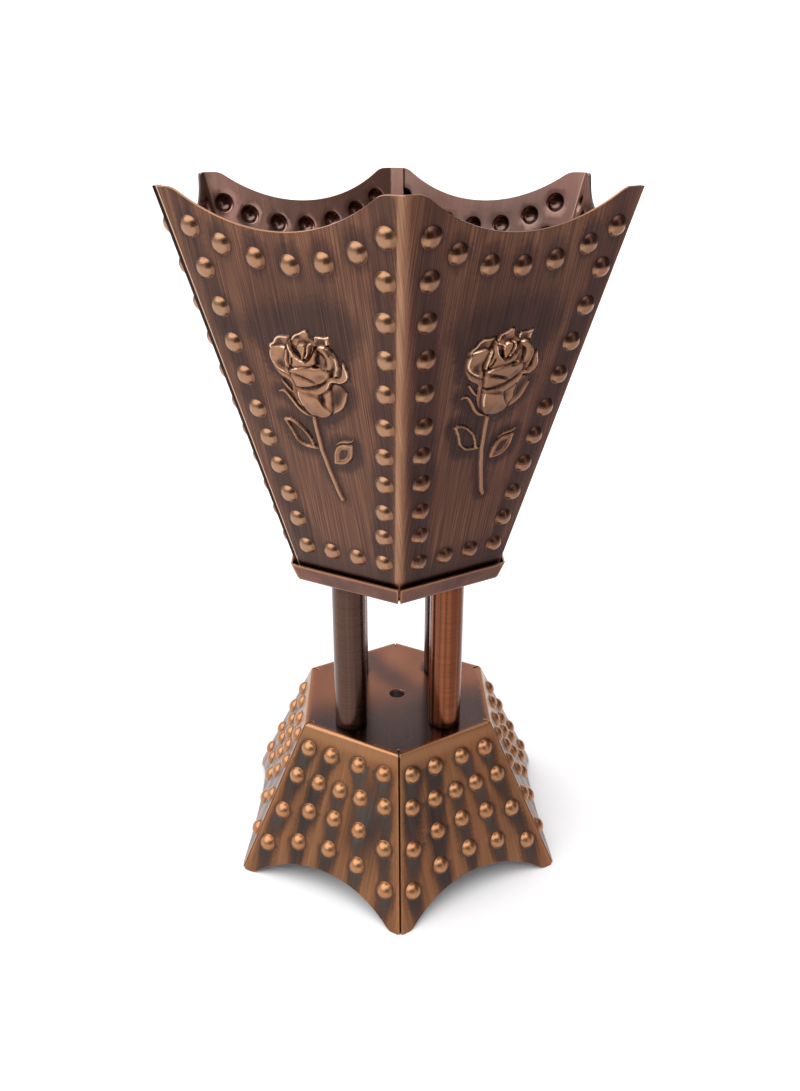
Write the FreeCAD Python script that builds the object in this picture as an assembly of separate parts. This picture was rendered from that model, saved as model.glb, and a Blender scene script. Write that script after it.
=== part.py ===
import FreeCAD, Part
import math
import os

# Mabkhara (footed incense burner) in folded, stamped copper sheet.
# Millimetres, +Z up, origin on the floor under the middle of the burner.
# One corner of the hexagon points at -Y (the front), so the two front panels
# meet in the middle of the front view.

os.makedirs("parts", exist_ok=True)
V = FreeCAD.Vector

# ---------------------------------------------------------------- dimensions
# bowl: a hexagonal funnel of three folded sheets, two panels each
BOWL_SHEET = 0.6          # sheet thickness
BOWL_TOP_R = 65.78        # corner radius at the rim tips
BOWL_TOP_Z = 206.3
BOWL_LOW_R = 34.54        # corner radius where the wall drops into the tray
BOWL_LOW_Z = 103.8
BOWL_BEND_R = 1.0         # outer radius of the folds at the corners
RIM_ARC_R = 46.0          # concave sweep of each panel's rim
RIM_LOW_S = 96.8          # its lowest point, measured up the slope
RIM_SHOULDER_R = 6.0      # convex shoulder into the flat at each corner
TAB_W = 4.2               # lap tab behind the neighbour's edge
TAB_GAP = 0.12
FLANGE_IN = 16.4          # bowl foot flange reaches in to this apothem
RELIEF_Z = 99.3           # corner relief ends here
RELIEF = 2.2
SEAM_CUT = 0.06

# tray: open hexagonal pan that the bowl stands in
TRAY_SHEET = 0.6
TRAY_Z = 97.5
TRAY_LOW_R = 33.7
TRAY_TOP_R = 35.95
TRAY_TOP_Z = 102.9
TRAY_BEND_R = 0.9
TRAY_SLIT = 0.42          # half the open slit at each corner

# base: hexagonal top plate with six splayed, arched sides
BASE_SHEET = 0.8
BASE_TOP_Z = 47.0
BASE_TOP_R = 33.75
BASE_LOW_R = 58.0
BASE_BEND_R = 1.2
BASE_SLIT = 0.28
ARCH_R = 38.0
ARCH_TOP_S = 9.35
ARCH_FOOT_R = 4.0
FOOT_TIP_R = 1.0
CENTRE_HOLE_R = 2.5

# posts and the tie rods inside them
POST_X = 14.6
POST_Y = 15.6
POST_R = 5.0
POST_WALL = 1.0
ROD_R = 2.0
ROD_HOLE_R = 2.25
FLOOR_SHEET = 0.8
FLOOR_APOTHEM = 26.6
WASHER_R = 4.5
WASHER_T = 0.8
NUT_AF = 7.0
NUT_H = 3.2
NUT_BORE_R = 2.1
ROD_PROUD = 1.0

# raised domes pressed from inside
DOME_R = 2.5              # radius at the sheet
DOME_H = 1.65
DOME_WALL = 0.5

# charcoal dish that lifts out of the funnel
DISH_RIM_R = 36.4
DISH_RIM_Z = 133.0
DISH_WELL_R = 31.5
DISH_LOW_R = 27.0
DISH_LOW_Z = 112.0
DISH_SHEET = 0.8

COS30 = math.cos(math.radians(30.0))
FRONT, RIGHT, LEFT = 210.0, 330.0, 90.0   # clockwise end corner of each bowl sheet

# dome centres in a panel's own plane: u to the right seen from outside, from
# the middle of the panel, and s up the slope from the visible foot of the wall
# left panel of each sheet
DOMES_A = [
    (-24.5, 96.9), (-16.6, 93.2), (-7.6, 90.4), (1.6, 89.3), (10.8, 90.4), (19.9, 93.3), (27.5, 96.9),
    (-23.0, 87.1), (-21.3, 77.5), (-20.0, 68.2), (-18.7, 59.4), (-17.4, 50.0), (-16.1, 41.6),
    (-14.8, 33.2), (-13.6, 24.2), (-12.5, 16.1), (-11.4, 7.0),
    (25.9, 87.2), (24.4, 77.6), (23.3, 68.3), (21.7, 59.4), (20.3, 50.1), (18.8, 41.6),
    (17.6, 33.2), (16.2, 24.2), (14.8, 16.0), (13.5, 7.0),
    (-3.1, 7.0), (5.2, 7.0),
]
# right panel of each sheet
DOMES_B = [
    (-24.4, 96.9), (-16.8, 92.9), (-7.7, 89.8), (1.7, 89.0), (10.9, 89.9), (19.9, 93.0), (27.4, 96.9),
    (-23.0, 87.2), (-21.9, 77.5), (-20.6, 68.3), (-19.4, 59.4), (-18.1, 50.2), (-17.2, 41.8),
    (-15.8, 33.3), (-14.6, 24.4), (-13.4, 16.3), (-12.1, 7.0),
    (25.8, 86.9), (24.1, 77.4), (22.5, 68.0), (21.2, 59.0), (19.3, 49.8), (18.0, 41.6),
    (16.6, 33.2), (15.3, 24.2), (14.1, 15.9), (12.9, 7.0),
    (-3.7, 7.0), (4.7, 7.0),
]
# base side panel, s up the slope from the floor
DOMES_BASE = [
    (-13.8, 44.3), (-5.6, 44.3), (4.25, 44.3), (13.0, 44.3),
    (-16.1, 34.9), (-7.95, 34.9), (-0.35, 34.9), (7.1, 34.9), (15.4, 34.9),
    (-18.65, 22.8), (-9.35, 25.3), (-0.35, 25.9), (8.7, 25.3), (18.0, 22.8),
    (-21.75, 11.1), (-10.95, 15.0), (-0.1, 16.4), (10.4, 15.0), (21.1, 11.1),
]

# stamped rose, in the same panel coordinates
ROSE_OUTLINE = [
    (1.2, 51.3), (-1.6, 51.8), (-2.8, 54.0), (-3.3, 57.0), (-3.9, 60.0), (-6.0, 62.0), (-8.2, 63.3),
    (-9.0, 65.6), (-8.6, 68.8), (-7.0, 70.8), (-5.2, 72.3), (-1.6, 72.6), (0.8, 73.4), (2.8, 74.4),
    (4.6, 73.0), (7.0, 72.9), (9.0, 72.6), (9.0, 70.0), (9.6, 67.4), (9.2, 64.8), (8.2, 62.2),
    (7.4, 59.8), (7.3, 56.0), (6.4, 53.0), (4.6, 51.4),
]
ROSE_RIDGES = [
    ([(-7.4, 62.9), (-9.0, 65.6), (-8.5, 68.9), (-6.4, 69.6), (-4.9, 69.2)], 0.8),
    ([(-3.4, 69.4), (-4.4, 67.2), (-4.5, 65.0), (-3.9, 63.6)], 0.7),
    ([(-2.8, 70.6), (-2.5, 68.4), (-1.2, 66.6), (0.4, 66.4), (2.6, 67.8), (3.8, 69.2)], 0.7),
    ([(-1.4, 71.6), (0.4, 73.0), (2.7, 73.9), (4.0, 72.6), (4.6, 71.0)], 0.7),
    ([(5.6, 70.6), (7.8, 70.2), (8.9, 67.6), (8.3, 65.4), (7.2, 64.8)], 0.8),
    ([(-2.8, 64.3), (0.2, 64.4), (3.0, 65.2), (5.6, 64.9)], 0.8),
    ([(-2.6, 62.2), (0.6, 61.6), (2.8, 60.6)], 0.8),
    ([(-3.2, 58.6), (-0.6, 58.2), (2.4, 58.5), (5.0, 59.8), (6.9, 61.3), (7.9, 63.0)], 0.9),
    ([(-0.6, 55.6), (1.2, 56.8), (3.4, 56.0), (5.0, 53.6)], 0.7),
]
ROSE_SEPALS = [
    ([(0.4, 51.2), (-1.8, 51.5), (-3.6, 52.8), (-5.2, 55.0), (-6.6, 57.0), (-8.2, 57.2)], 0.8),
    ([(-4.2, 57.0), (-5.2, 58.4), (-6.8, 60.4)], 0.6),
    ([(5.6, 52.6), (8.2, 54.2), (10.0, 56.6), (11.6, 60.0)], 0.8),
    ([(7.6, 61.6), (9.6, 61.5), (11.6, 62.6), (12.4, 64.8), (11.6, 67.4)], 0.9),
]
STEM = ([(0.6, 51.6), (0.5, 47.0), (0.8, 42.0), (1.8, 36.0), (3.2, 30.0), (4.2, 26.4)], 1.0)
LEAF_LEFT = [
    (-9.3, 48.9), (-7.6, 49.2), (-5.6, 48.4), (-3.8, 46.8), (-2.2, 44.4), (-1.2, 41.9),
    (-3.0, 41.0), (-5.2, 41.4), (-6.9, 43.4), (-8.0, 46.0),
]
LEAF_RIGHT = [
    (4.2, 38.1), (4.7, 40.6), (6.0, 43.0), (7.9, 44.3), (10.6, 45.0),
    (10.4, 42.8), (9.6, 40.3), (8.0, 38.6), (6.2, 37.9),
]
ROSE_PLATE_H = 0.45
ROSE_RIDGE_H = 1.0
STEM_H = 0.7


# ------------------------------------------------------------------ helpers
def corner(angle, r, z):
    a = math.radians(angle)
    return V(r * math.cos(a), r * math.sin(a), z)


class Panel:
    """A flat side between the corners at a0 and a0+60 degrees, with its own
    axes: u along it to the right seen from outside, s up it, n outwards."""

    def __init__(self, a0, r_low, z_low, r_top, z_top):
        b0, b1 = corner(a0, r_low, z_low), corner(a0 + 60, r_low, z_low)
        t0, t1 = corner(a0, r_top, z_top), corner(a0 + 60, r_top, z_top)
        self.o = (b0 + b1) * 0.5
        self.u = (b1 - b0).normalize()
        m = (t0 + t1) * 0.5 - self.o
        self.length = m.Length
        self.s = m.normalize()
        self.n = self.u.cross(self.s)
        self.low_w = r_low
        self.top_w = r_top

    def half(self, s):
        return 0.5 * (self.low_w + (self.top_w - self.low_w) * s / self.length)

    def place(self):
        m = FreeCAD.Matrix(
            self.u.x, self.s.x, self.n.x, self.o.x,
            self.u.y, self.s.y, self.n.y, self.o.y,
            self.u.z, self.s.z, self.n.z, self.o.z,
            0, 0, 0, 1,
        )
        return FreeCAD.Placement(m)

    def put(self, shape):
        out = shape.copy()
        out.Placement = self.place().multiply(out.Placement)
        return out


def wire_of(points):
    return Part.makePolygon([V(*p) for p in points] + [V(*points[0])])


def prism(points, lift):
    return Part.Face(wire_of(points)).extrude(V(*lift))


def hexagon(apothem, z):
    r = apothem / COS30
    return [tuple(corner(a, r, z)) for a in (30, 90, 150, 210, 270, 330)]


def wedge(a0, gap0, gap1, z0, z1):
    """The space between the upright planes through the corners at a0 and
    a0+60, each moved in by its gap."""
    pts = []
    for a, g, order in ((a0, gap0, (5, 220)), (a0 + 60, -gap1, (220, 5))):
        r = math.radians(a)
        d = V(math.cos(r), math.sin(r), 0)
        side = V(-math.sin(r), math.cos(r), 0) * g
        for far in order:
            p = d * far + side
            pts.append((p.x, p.y, z0))
    return prism(pts, (0, 0, z1 - z0))


def bent_strip(mid_angle, r_in, z_plate, t, r_edge, slope_out, length, bend_r, up):
    """A flat plate edge, a bend and a sloping wall as one strip of sheet,
    extruded along the side whose outward direction is mid_angle.
    r_edge is the apothem of the sharp outer corner; the wall runs from it for
    length along its slope; slope_out is its angle from upright, leaning
    outwards; up is +1 for a wall that rises from the plate, -1 for one that
    hangs from it. z_plate is the plate's outer face."""
    w = math.radians(slope_out)
    wall = V(math.sin(w), 0, up * math.cos(w))
    plate = V(-1, 0, 0)
    sharp = V(r_edge, 0, z_plate)
    # interior angle between the plate and the wall decides the tangent length
    ang = math.acos(max(-1.0, min(1.0, plate.dot(wall))))
    tl = bend_r / math.tan(ang / 2.0)
    a = sharp + plate * tl
    b = sharp + wall * tl
    inward_plate = V(0, 0, up)
    c = a + inward_plate * bend_r
    bis = (plate + wall).normalize()
    mid_o = c - bis * bend_r
    ri = bend_r - t
    ai = a + inward_plate * t
    wall_in = V(-wall.z * up, 0, wall.x * up)
    if (c - b).dot(wall_in) < 0:
        wall_in = wall_in * -1.0
    bi = b + wall_in * t
    mid_i = c - bis * ri
    end_o = sharp + wall * length
    end_i = end_o + wall_in * t
    p0 = V(r_in, 0, z_plate)
    p0i = V(r_in, 0, z_plate + up * t)
    edges = [
        Part.makeLine(p0, a), Part.Arc(a, mid_o, b).toShape(), Part.makeLine(b, end_o),
        Part.makeLine(end_o, end_i), Part.makeLine(end_i, bi), Part.Arc(bi, mid_i, ai).toShape(),
        Part.makeLine(ai, p0i), Part.makeLine(p0i, p0),
    ]
    face = Part.Face(Part.Wire(edges))
    face.translate(V(0, -45, 0))
    solid = face.extrude(V(0, 90, 0))
    solid.rotate(V(0, 0, 0), V(0, 0, 1), mid_angle)
    return solid


def fuse_all(shapes):
    return shapes[0].multiFuse(list(shapes[1:])) if len(shapes) > 1 else shapes[0]


def ball(u, s, n, r):
    b = Part.makeSphere(r)
    b.translate(V(u, s, n))
    return b


def dome_tools(panel, centres):
    rs = (DOME_R ** 2 + DOME_H ** 2) / (2 * DOME_H)
    n0 = -(rs - DOME_H)
    slab = Part.makeBox(300, 300, 20, V(-150, -150, -0.3))
    outer, inner = [], []
    for u, s in centres:
        outer.append(panel.put(ball(u, s, n0, rs).common(slab)))
        inner.append(panel.put(ball(u, s, n0, rs - DOME_WALL)))
    return outer, inner


def curve(points, closed=False):
    c = Part.BSplineCurve()
    if closed:
        c.interpolate([V(p[0], p[1], 0) for p in points], PeriodicFlag=True)
    else:
        c.interpolate([V(p[0], p[1], 0) for p in points])
    return c


def stroke(points, width, n0, n1):
    """A tapered ridge along a smooth line."""
    c = curve(points)
    left, right = [], []
    steps = 12
    for i in range(steps + 1):
        f = i / steps
        t = c.FirstParameter + (c.LastParameter - c.FirstParameter) * f
        p = c.value(t)
        d = c.tangent(t)[0]
        w = 0.5 * width * (0.55 + 0.45 * math.sin(math.pi * f))
        left.append((p.x - d.y * w, p.y + d.x * w))
        right.append((p.x + d.y * w, p.y - d.x * w))
    e1 = curve(left).toShape()
    e2 = curve(right).toShape()
    caps = [
        Part.makeLine(V(left[-1][0], left[-1][1], 0), V(right[-1][0], right[-1][1], 0)),
        Part.makeLine(V(right[0][0], right[0][1], 0), V(left[0][0], left[0][1], 0)),
    ]
    face = Part.Face(Part.Wire(Part.__sortEdges__([e1, caps[0], e2, caps[1]])))
    face.translate(V(0, 0, n0))
    return face.extrude(V(0, 0, n1 - n0))


def plate_of(points, n0, n1):
    face = Part.Face(Part.Wire([curve(points, True).toShape()]))
    face.translate(V(0, 0, n0))
    return face.extrude(V(0, 0, n1 - n0))


def shrunk(points, k):
    cx = sum(p[0] for p in points) / len(points)
    cy = sum(p[1] for p in points) / len(points)
    return [(cx + (p[0] - cx) * k, cy + (p[1] - cy) * k) for p in points]


def rose():
    """The stamped rose as one raised solid in panel coordinates."""
    foot = -0.3
    parts = [plate_of(ROSE_OUTLINE, foot, ROSE_PLATE_H)]
    parts += [stroke(p, w, foot, ROSE_RIDGE_H) for p, w in ROSE_RIDGES]
    parts += [stroke(p, w, foot, STEM_H) for p, w in ROSE_SEPALS]
    parts.append(stroke(STEM[0], STEM[1], foot, STEM_H))
    for leaf in (LEAF_LEFT, LEAF_RIGHT):
        ring = plate_of(leaf, foot, STEM_H).cut(plate_of(shrunk(leaf, 0.66), 0.12, 2.0))
        parts.append(ring)
    return fuse_all(parts)


def rim_tool(panel):
    """What the rim's concave sweep and its convex shoulders take out of a
    panel. The corners beside it stop at the level top of the bowl."""
    top = panel.length
    cs = RIM_LOW_S + RIM_ARC_R
    dv = cs - (top - RIM_SHOULDER_R)
    dist = RIM_ARC_R + RIM_SHOULDER_R
    uc = math.sqrt(dist ** 2 - dv ** 2)
    k = RIM_ARC_R / dist
    ta = V(uc * k, cs - dv * k, 0)
    a = math.atan2(dv, uc)
    am = 0.5 * (math.pi / 2 + (math.pi - a))
    shoulder_mid = V(uc + RIM_SHOULDER_R * math.cos(am), (top - RIM_SHOULDER_R) + RIM_SHOULDER_R * math.sin(am), 0)
    flat0 = V(uc, top, 0)

    def mir(p):
        return V(-p.x, p.y, 0)

    edges = [
        Part.Arc(mir(flat0), mir(shoulder_mid), mir(ta)).toShape(),
        Part.Arc(mir(ta), V(0, RIM_LOW_S, 0), ta).toShape(),
        Part.Arc(ta, shoulder_mid, flat0).toShape(),
        Part.makeLine(flat0, V(uc, top + 20, 0)),
        Part.makeLine(V(uc, top + 20, 0), V(-uc, top + 20, 0)),
        Part.makeLine(V(-uc, top + 20, 0), mir(flat0)),
    ]
    face = Part.Face(Part.Wire(edges))
    face.translate(V(0, 0, -12))
    return panel.put(face.extrude(V(0, 0, 24)))


def hole_tools(r, z0, z1):
    out = []
    for x in (-POST_X, POST_X):
        for y in (-POST_Y, POST_Y):
            out.append(Part.makeCylinder(r, z1 - z0, V(x, y, z0)))
    return out


def save(name, shape):
    shape = shape.removeSplitter() if shape.ShapeType != "Compound" or len(shape.Solids) == 1 else shape
    solids = shape.Solids
    assert solids, name
    for s in solids:
        assert s.isValid() and s.Volume > 0, name
    out = solids[0] if len(solids) == 1 else Part.makeCompound(solids)
    out.exportStep("parts/%s.step" % name)
    bb = out.BoundBox
    print("%-20s solids %d  vol %.1f  x %.2f..%.2f  y %.2f..%.2f  z %.2f..%.2f" % (
        name, len(solids), out.Volume, bb.XMin, bb.XMax, bb.YMin, bb.YMax, bb.ZMin, bb.ZMax))
    return out


# ------------------------------------------------------------------- bowl
BOWL_SLOPE = math.degrees(math.atan((BOWL_TOP_R - BOWL_LOW_R) * COS30 / (BOWL_TOP_Z - BOWL_LOW_Z)))
FOOT_Z = TRAY_Z + TRAY_SHEET          # the bowl's flanges lie on the tray floor
ROSE = rose()


def bowl_panel(a0):
    return Panel(a0, BOWL_LOW_R, BOWL_LOW_Z, BOWL_TOP_R, BOWL_TOP_Z)


def apothem_at(z):
    return (BOWL_LOW_R + (BOWL_TOP_R - BOWL_LOW_R) * (z - BOWL_LOW_Z) / (BOWL_TOP_Z - BOWL_LOW_Z)) * COS30


def bowl_sheet(a0):
    """Two panels from the corner at a0, folded at a0+60, with the lap tab
    tucked behind the neighbour at a0."""
    pa, pb, pn = bowl_panel(a0), bowl_panel(a0 + 60), bowl_panel(a0 - 60)
    depth = BOWL_SHEET + TAB_GAP
    pieces = []
    for k, p in enumerate((pa, pb)):
        mid = a0 + 30 + 60 * k
        length = (BOWL_TOP_Z - FOOT_Z) / math.cos(math.radians(BOWL_SLOPE)) + 2
        strip = bent_strip(mid, FLANGE_IN, FOOT_Z, BOWL_SHEET, apothem_at(FOOT_Z), BOWL_SLOPE, length, 0.9, 1)
        low = strip.common(wedge(a0 + 60 * k, RELIEF, RELIEF, FOOT_Z - 1, RELIEF_Z))
        high = strip.common(wedge(a0 + 60 * k, 0, 0, RELIEF_Z, 260) if k == 1 else wedge(a0, -3, 0, RELIEF_Z, 260))
        if k == 0:
            # stop where the fold turns in behind the neighbour
            keep = Part.makeBox(300, 400, 100, V(-150, -150, -depth - 100))
            high = high.common(pn.put(keep))
        else:
            # raw cut edge, square to the sheet
            e0, e1 = -20.0, p.length + 20
            raw = prism(
                [(p.half(e0) - SEAM_CUT, e0, -5), (p.half(e1) - SEAM_CUT, e1, -5),
                 (p.half(e1) + 60, e1, -5), (p.half(e0) + 60, e0, -5)], (0, 0, 10))
            high = strip.common(wedge(a0 + 60, 0, -3, RELIEF_Z, 260)).cut(p.put(raw))
        pieces.append(high.fuse(low))
    # the tab lies in the neighbour's plane, one sheet further in
    s0, s1 = -8.0, pn.length + 5
    tab = prism(
        [(pn.half(s0) - TAB_W, s0, -depth - BOWL_SHEET), (pn.half(s0) + 3, s0, -depth - BOWL_SHEET),
         (pn.half(s1) + 3, s1, -depth - BOWL_SHEET), (pn.half(s1) - TAB_W, s1, -depth - BOWL_SHEET)],
        (0, 0, BOWL_SHEET))
    tab = pn.put(tab)
    inside = Part.makeBox(300, 400, 100, V(-150, -150, -100))
    above = Part.makeBox(300, 300, 200, V(-150, -150, RELIEF_Z))
    pieces.append(tab.common(pa.put(inside)).common(above))
    sheet = fuse_all(pieces).removeSplitter()
    # round the folds, outside and inside
    for r, found in ((BOWL_BEND_R, fold_edges(sheet, pa, pb, pn, depth, True)),
                     (BOWL_BEND_R - BOWL_SHEET, None)):
        if found is None:
            found = fold_edges(sheet, pa, pb, pn, depth, False)
        assert len(found) == 2, "folds"
        sheet = sheet.makeFillet(r, found)
    sheet = sheet.cut(Part.makeBox(300, 300, 60, V(-150, -150, BOWL_TOP_Z)))
    for p in (pa, pb, pn):
        sheet = sheet.cut(rim_tool(p))
    outer, inner = [], []
    for p, domes in ((pa, DOMES_A), (pb, DOMES_B)):
        o, i = dome_tools(p, domes)
        outer += o
        inner += i
    sheet = sheet.multiFuse(outer + [pa.put(ROSE), pb.put(ROSE)])
    sheet = sheet.cut(Part.makeCompound(inner))
    for h in hole_tools(ROD_HOLE_R, FOOT_Z - 1, FOOT_Z + 2):
        sheet = sheet.cut(h)
    return sheet


def fold_edges(sheet, pa, pb, pn, depth, outside):
    """The long edges of the fold between pa and pb, and of the tab's fold."""
    def dist(p, plane):
        return (p - plane.o).dot(plane.n)

    off = 0.0 if outside else -BOWL_SHEET
    found = []
    for e in sheet.Edges:
        if e.Length < 30 or len(e.Vertexes) != 2:
            continue
        ends = [v.Point for v in e.Vertexes]
        if all(abs(dist(p, pa) - off) < 0.02 and abs(dist(p, pb) - off) < 0.02 for p in ends):
            found.append(e)
        if all(abs(dist(p, pa) - off) < 0.02 and abs(dist(p, pn) + depth - off) < 0.02 for p in ends):
            found.append(e)
    return found


sheets = {}
for name, a0 in (("bowl_sheet_front", FRONT), ("bowl_sheet_right", RIGHT), ("bowl_sheet_left", LEFT)):
    sheets[name] = save(name, bowl_sheet(a0))

# floor plate that clamps the bowl's flanges down on the tray
fz = FOOT_Z + BOWL_SHEET
floor_plate = prism(hexagon(FLOOR_APOTHEM, fz), (0, 0, FLOOR_SHEET))
for h in hole_tools(ROD_HOLE_R, fz - 1, fz + 2):
    floor_plate = floor_plate.cut(h)
floor_plate = floor_plate.makeFillet(1.5, [e for e in floor_plate.Edges
                                           if abs(e.Length - FLOOR_SHEET) < 1e-6 and len(e.Vertexes) == 2
                                           and abs(e.BoundBox.XLength) < 1e-6 and e.BoundBox.ZLength > 0.5
                                           and math.hypot(e.CenterOfMass.x, e.CenterOfMass.y) > FLOOR_APOTHEM])
save("bowl_floor_plate", floor_plate)

# ------------------------------------------------------------------- tray
tray_slope = math.degrees(math.atan((TRAY_TOP_R - TRAY_LOW_R) * COS30 / (TRAY_TOP_Z - TRAY_Z)))
tray_len = (TRAY_TOP_Z - TRAY_Z) / math.cos(math.radians(tray_slope))
plate_in = TRAY_LOW_R * COS30 - 2.0
tray = [prism(hexagon(plate_in, TRAY_Z), (0, 0, TRAY_SHEET))]
for k in range(6):
    a0 = 30 + 60 * k
    strip = bent_strip(a0 + 30, plate_in - 1.0, TRAY_Z, TRAY_SHEET, TRAY_LOW_R * COS30, tray_slope, tray_len, TRAY_BEND_R, 1)
    tray.append(strip.common(wedge(a0, TRAY_SLIT, TRAY_SLIT, TRAY_Z - 1, TRAY_TOP_Z + 5)))
tray = fuse_all(tray)
for h in hole_tools(ROD_HOLE_R, TRAY_Z - 1, TRAY_Z + 2):
    tray = tray.cut(h)
save("stem_tray", tray)

# ------------------------------------------------------------------- base
base_slope = math.degrees(math.atan((BASE_LOW_R - BASE_TOP_R) * COS30 / BASE_TOP_Z))
base_len = BASE_TOP_Z / math.cos(math.radians(base_slope)) + 1.0
plate_in = BASE_TOP_R * COS30 - 2.4


def base_panel(a0):
    return Panel(a0, BASE_LOW_R, 0.0, BASE_TOP_R, BASE_TOP_Z)


def arch_tool(p):
    """The arch and the rounded feet, cut through a side from outside in."""
    cs = ARCH_TOP_S - ARCH_R
    uc = math.sqrt((ARCH_R + ARCH_FOOT_R) ** 2 - (ARCH_FOOT_R - cs) ** 2)
    k = ARCH_R / (ARCH_R + ARCH_FOOT_R)
    ta = V(uc * k, cs + (ARCH_FOOT_R - cs) * k, 0)
    a = math.atan2(cs - ARCH_FOOT_R, -uc)
    am = 0.5 * (a + -math.pi / 2)
    mid = V(uc + ARCH_FOOT_R * math.cos(am), ARCH_FOOT_R + ARCH_FOOT_R * math.sin(am), 0)
    flat0 = V(uc, 0, 0)
    hw = p.half(0) - BASE_SLIT
    # tip rounding next to the slit
    lean = math.atan((p.low_w - p.top_w) * 0.5 / p.length)
    tip_u = hw - FOOT_TIP_R * math.tan((math.pi / 2 + lean) / 2) * 0.9
    f1 = V(tip_u, 0, 0)
    tip_up = V(p.half(0.9) - BASE_SLIT + 0.02, 0.9, 0)
    tip_mid = V(hw - 0.28, 0.26, 0)

    def mir(q):
        return V(-q.x, q.y, 0)

    def side(f):
        return [f(x) for x in (flat0, f1, tip_mid, tip_up)]

    r = side(lambda q: q)
    lft = side(mir)
    edges = [
        Part.Arc(mir(ta), V(0, ARCH_TOP_S, 0), ta).toShape(),
        Part.Arc(ta, mid, r[0]).toShape(),
        Part.makeLine(r[0], r[1]),
        Part.Arc(r[1], r[2], r[3]).toShape(),
        Part.makeLine(r[3], V(40, 0.9, 0)),
        Part.makeLine(V(40, 0.9, 0), V(40, -10, 0)),
        Part.makeLine(V(40, -10, 0), V(-40, -10, 0)),
        Part.makeLine(V(-40, -10, 0), V(-40, 0.9, 0)),
        Part.makeLine(V(-40, 0.9, 0), lft[3]),
        Part.Arc(lft[3], lft[2], lft[1]).toShape(),
        Part.makeLine(lft[1], lft[0]),
        Part.Arc(lft[0], mir(mid), mir(ta)).toShape(),
    ]
    face = Part.Face(Part.Wire(edges))
    face.translate(V(0, 0, -6))
    return p.put(face.extrude(V(0, 0, 12)))


base = [prism(hexagon(plate_in, BASE_TOP_Z - BASE_SHEET), (0, 0, BASE_SHEET))]
inner_all = []
for k in range(6):
    a0 = 30 + 60 * k
    p = base_panel(a0)
    strip = bent_strip(a0 + 30, plate_in - 1.0, BASE_TOP_Z, BASE_SHEET, BASE_TOP_R * COS30, base_slope, base_len, BASE_BEND_R, -1)
    side = strip.common(wedge(a0, BASE_SLIT, BASE_SLIT, 0.0, BASE_TOP_Z + 5))
    side = side.cut(arch_tool(p))
    o, i = dome_tools(p, DOMES_BASE)
    side = side.multiFuse(o).cut(Part.makeCompound(i))
    base.append(side)
base = fuse_all(base)
for h in hole_tools(ROD_HOLE_R, BASE_TOP_Z - 3, BASE_TOP_Z + 2):
    base = base.cut(h)
base = base.cut(Part.makeCylinder(CENTRE_HOLE_R, 6, V(0, 0, BASE_TOP_Z - 3)))
save("base_shell", base)

# ------------------------------------------------------------------ posts
for name, x, y in (
    ("post_front_left", -POST_X, -POST_Y), ("post_front_right", POST_X, -POST_Y),
    ("post_rear_left", -POST_X, POST_Y), ("post_rear_right", POST_X, POST_Y),
):
    h = TRAY_Z - BASE_TOP_Z
    tube = Part.makeCylinder(POST_R, h, V(x, y, BASE_TOP_Z)).cut(
        Part.makeCylinder(POST_R - POST_WALL, h, V(x, y, BASE_TOP_Z)))
    ends = [e for e in tube.Edges if abs(e.Length - 2 * math.pi * POST_R) < 1e-3]
    tube = tube.makeChamfer(0.25, ends)
    save(name, tube)

# -------------------------------------------------------- tie rods and nuts
top_of_floor = FOOT_Z + BOWL_SHEET + FLOOR_SHEET
under_base = BASE_TOP_Z - BASE_SHEET
rod_z0 = under_base - WASHER_T - NUT_H - ROD_PROUD
rod_z1 = top_of_floor + WASHER_T + NUT_H + ROD_PROUD


def washer(x, y, z):
    return Part.makeCylinder(WASHER_R, WASHER_T, V(x, y, z)).cut(
        Part.makeCylinder(ROD_HOLE_R, WASHER_T, V(x, y, z)))


def nut(x, y, z):
    r = NUT_AF / 2 / COS30
    hexa = prism([(x + r * math.cos(math.radians(a)), y + r * math.sin(math.radians(a)), z)
                  for a in range(15, 375, 60)], (0, 0, NUT_H))
    # the corners are turned off to a chamfer at both ends
    c = 0.55
    core = Part.makeCylinder(r + 0.01, NUT_H - 2 * c, V(x, y, z + c))
    top = Part.makeCone(r + 0.01, NUT_AF / 2 - 0.1, c, V(x, y, z + NUT_H - c))
    low = Part.makeCone(NUT_AF / 2 - 0.1, r + 0.01, c, V(x, y, z))
    turned = core.fuse(top).fuse(low)
    return hexa.common(turned).cut(Part.makeCylinder(NUT_BORE_R, NUT_H, V(x, y, z)))


spots = (("front_left", -POST_X, -POST_Y), ("front_right", POST_X, -POST_Y),
         ("rear_left", -POST_X, POST_Y), ("rear_right", POST_X, POST_Y))
for tag, x, y in spots:
    rod = Part.makeCylinder(ROD_R, rod_z1 - rod_z0, V(x, y, rod_z0))
    rod = rod.makeChamfer(0.4, [e for e in rod.Edges if abs(e.Length - 2 * math.pi * ROD_R) < 1e-3])
    save("tie_rod_" + tag, rod)
save("upper_washers", Part.makeCompound([washer(x, y, top_of_floor) for _, x, y in spots]))
save("upper_nuts", Part.makeCompound([nut(x, y, top_of_floor + WASHER_T) for _, x, y in spots]))
save("lower_washers", Part.makeCompound([washer(x, y, under_base - WASHER_T) for _, x, y in spots]))
save("lower_nuts", Part.makeCompound([nut(x, y, under_base - WASHER_T - NUT_H) for _, x, y in spots]))

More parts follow.
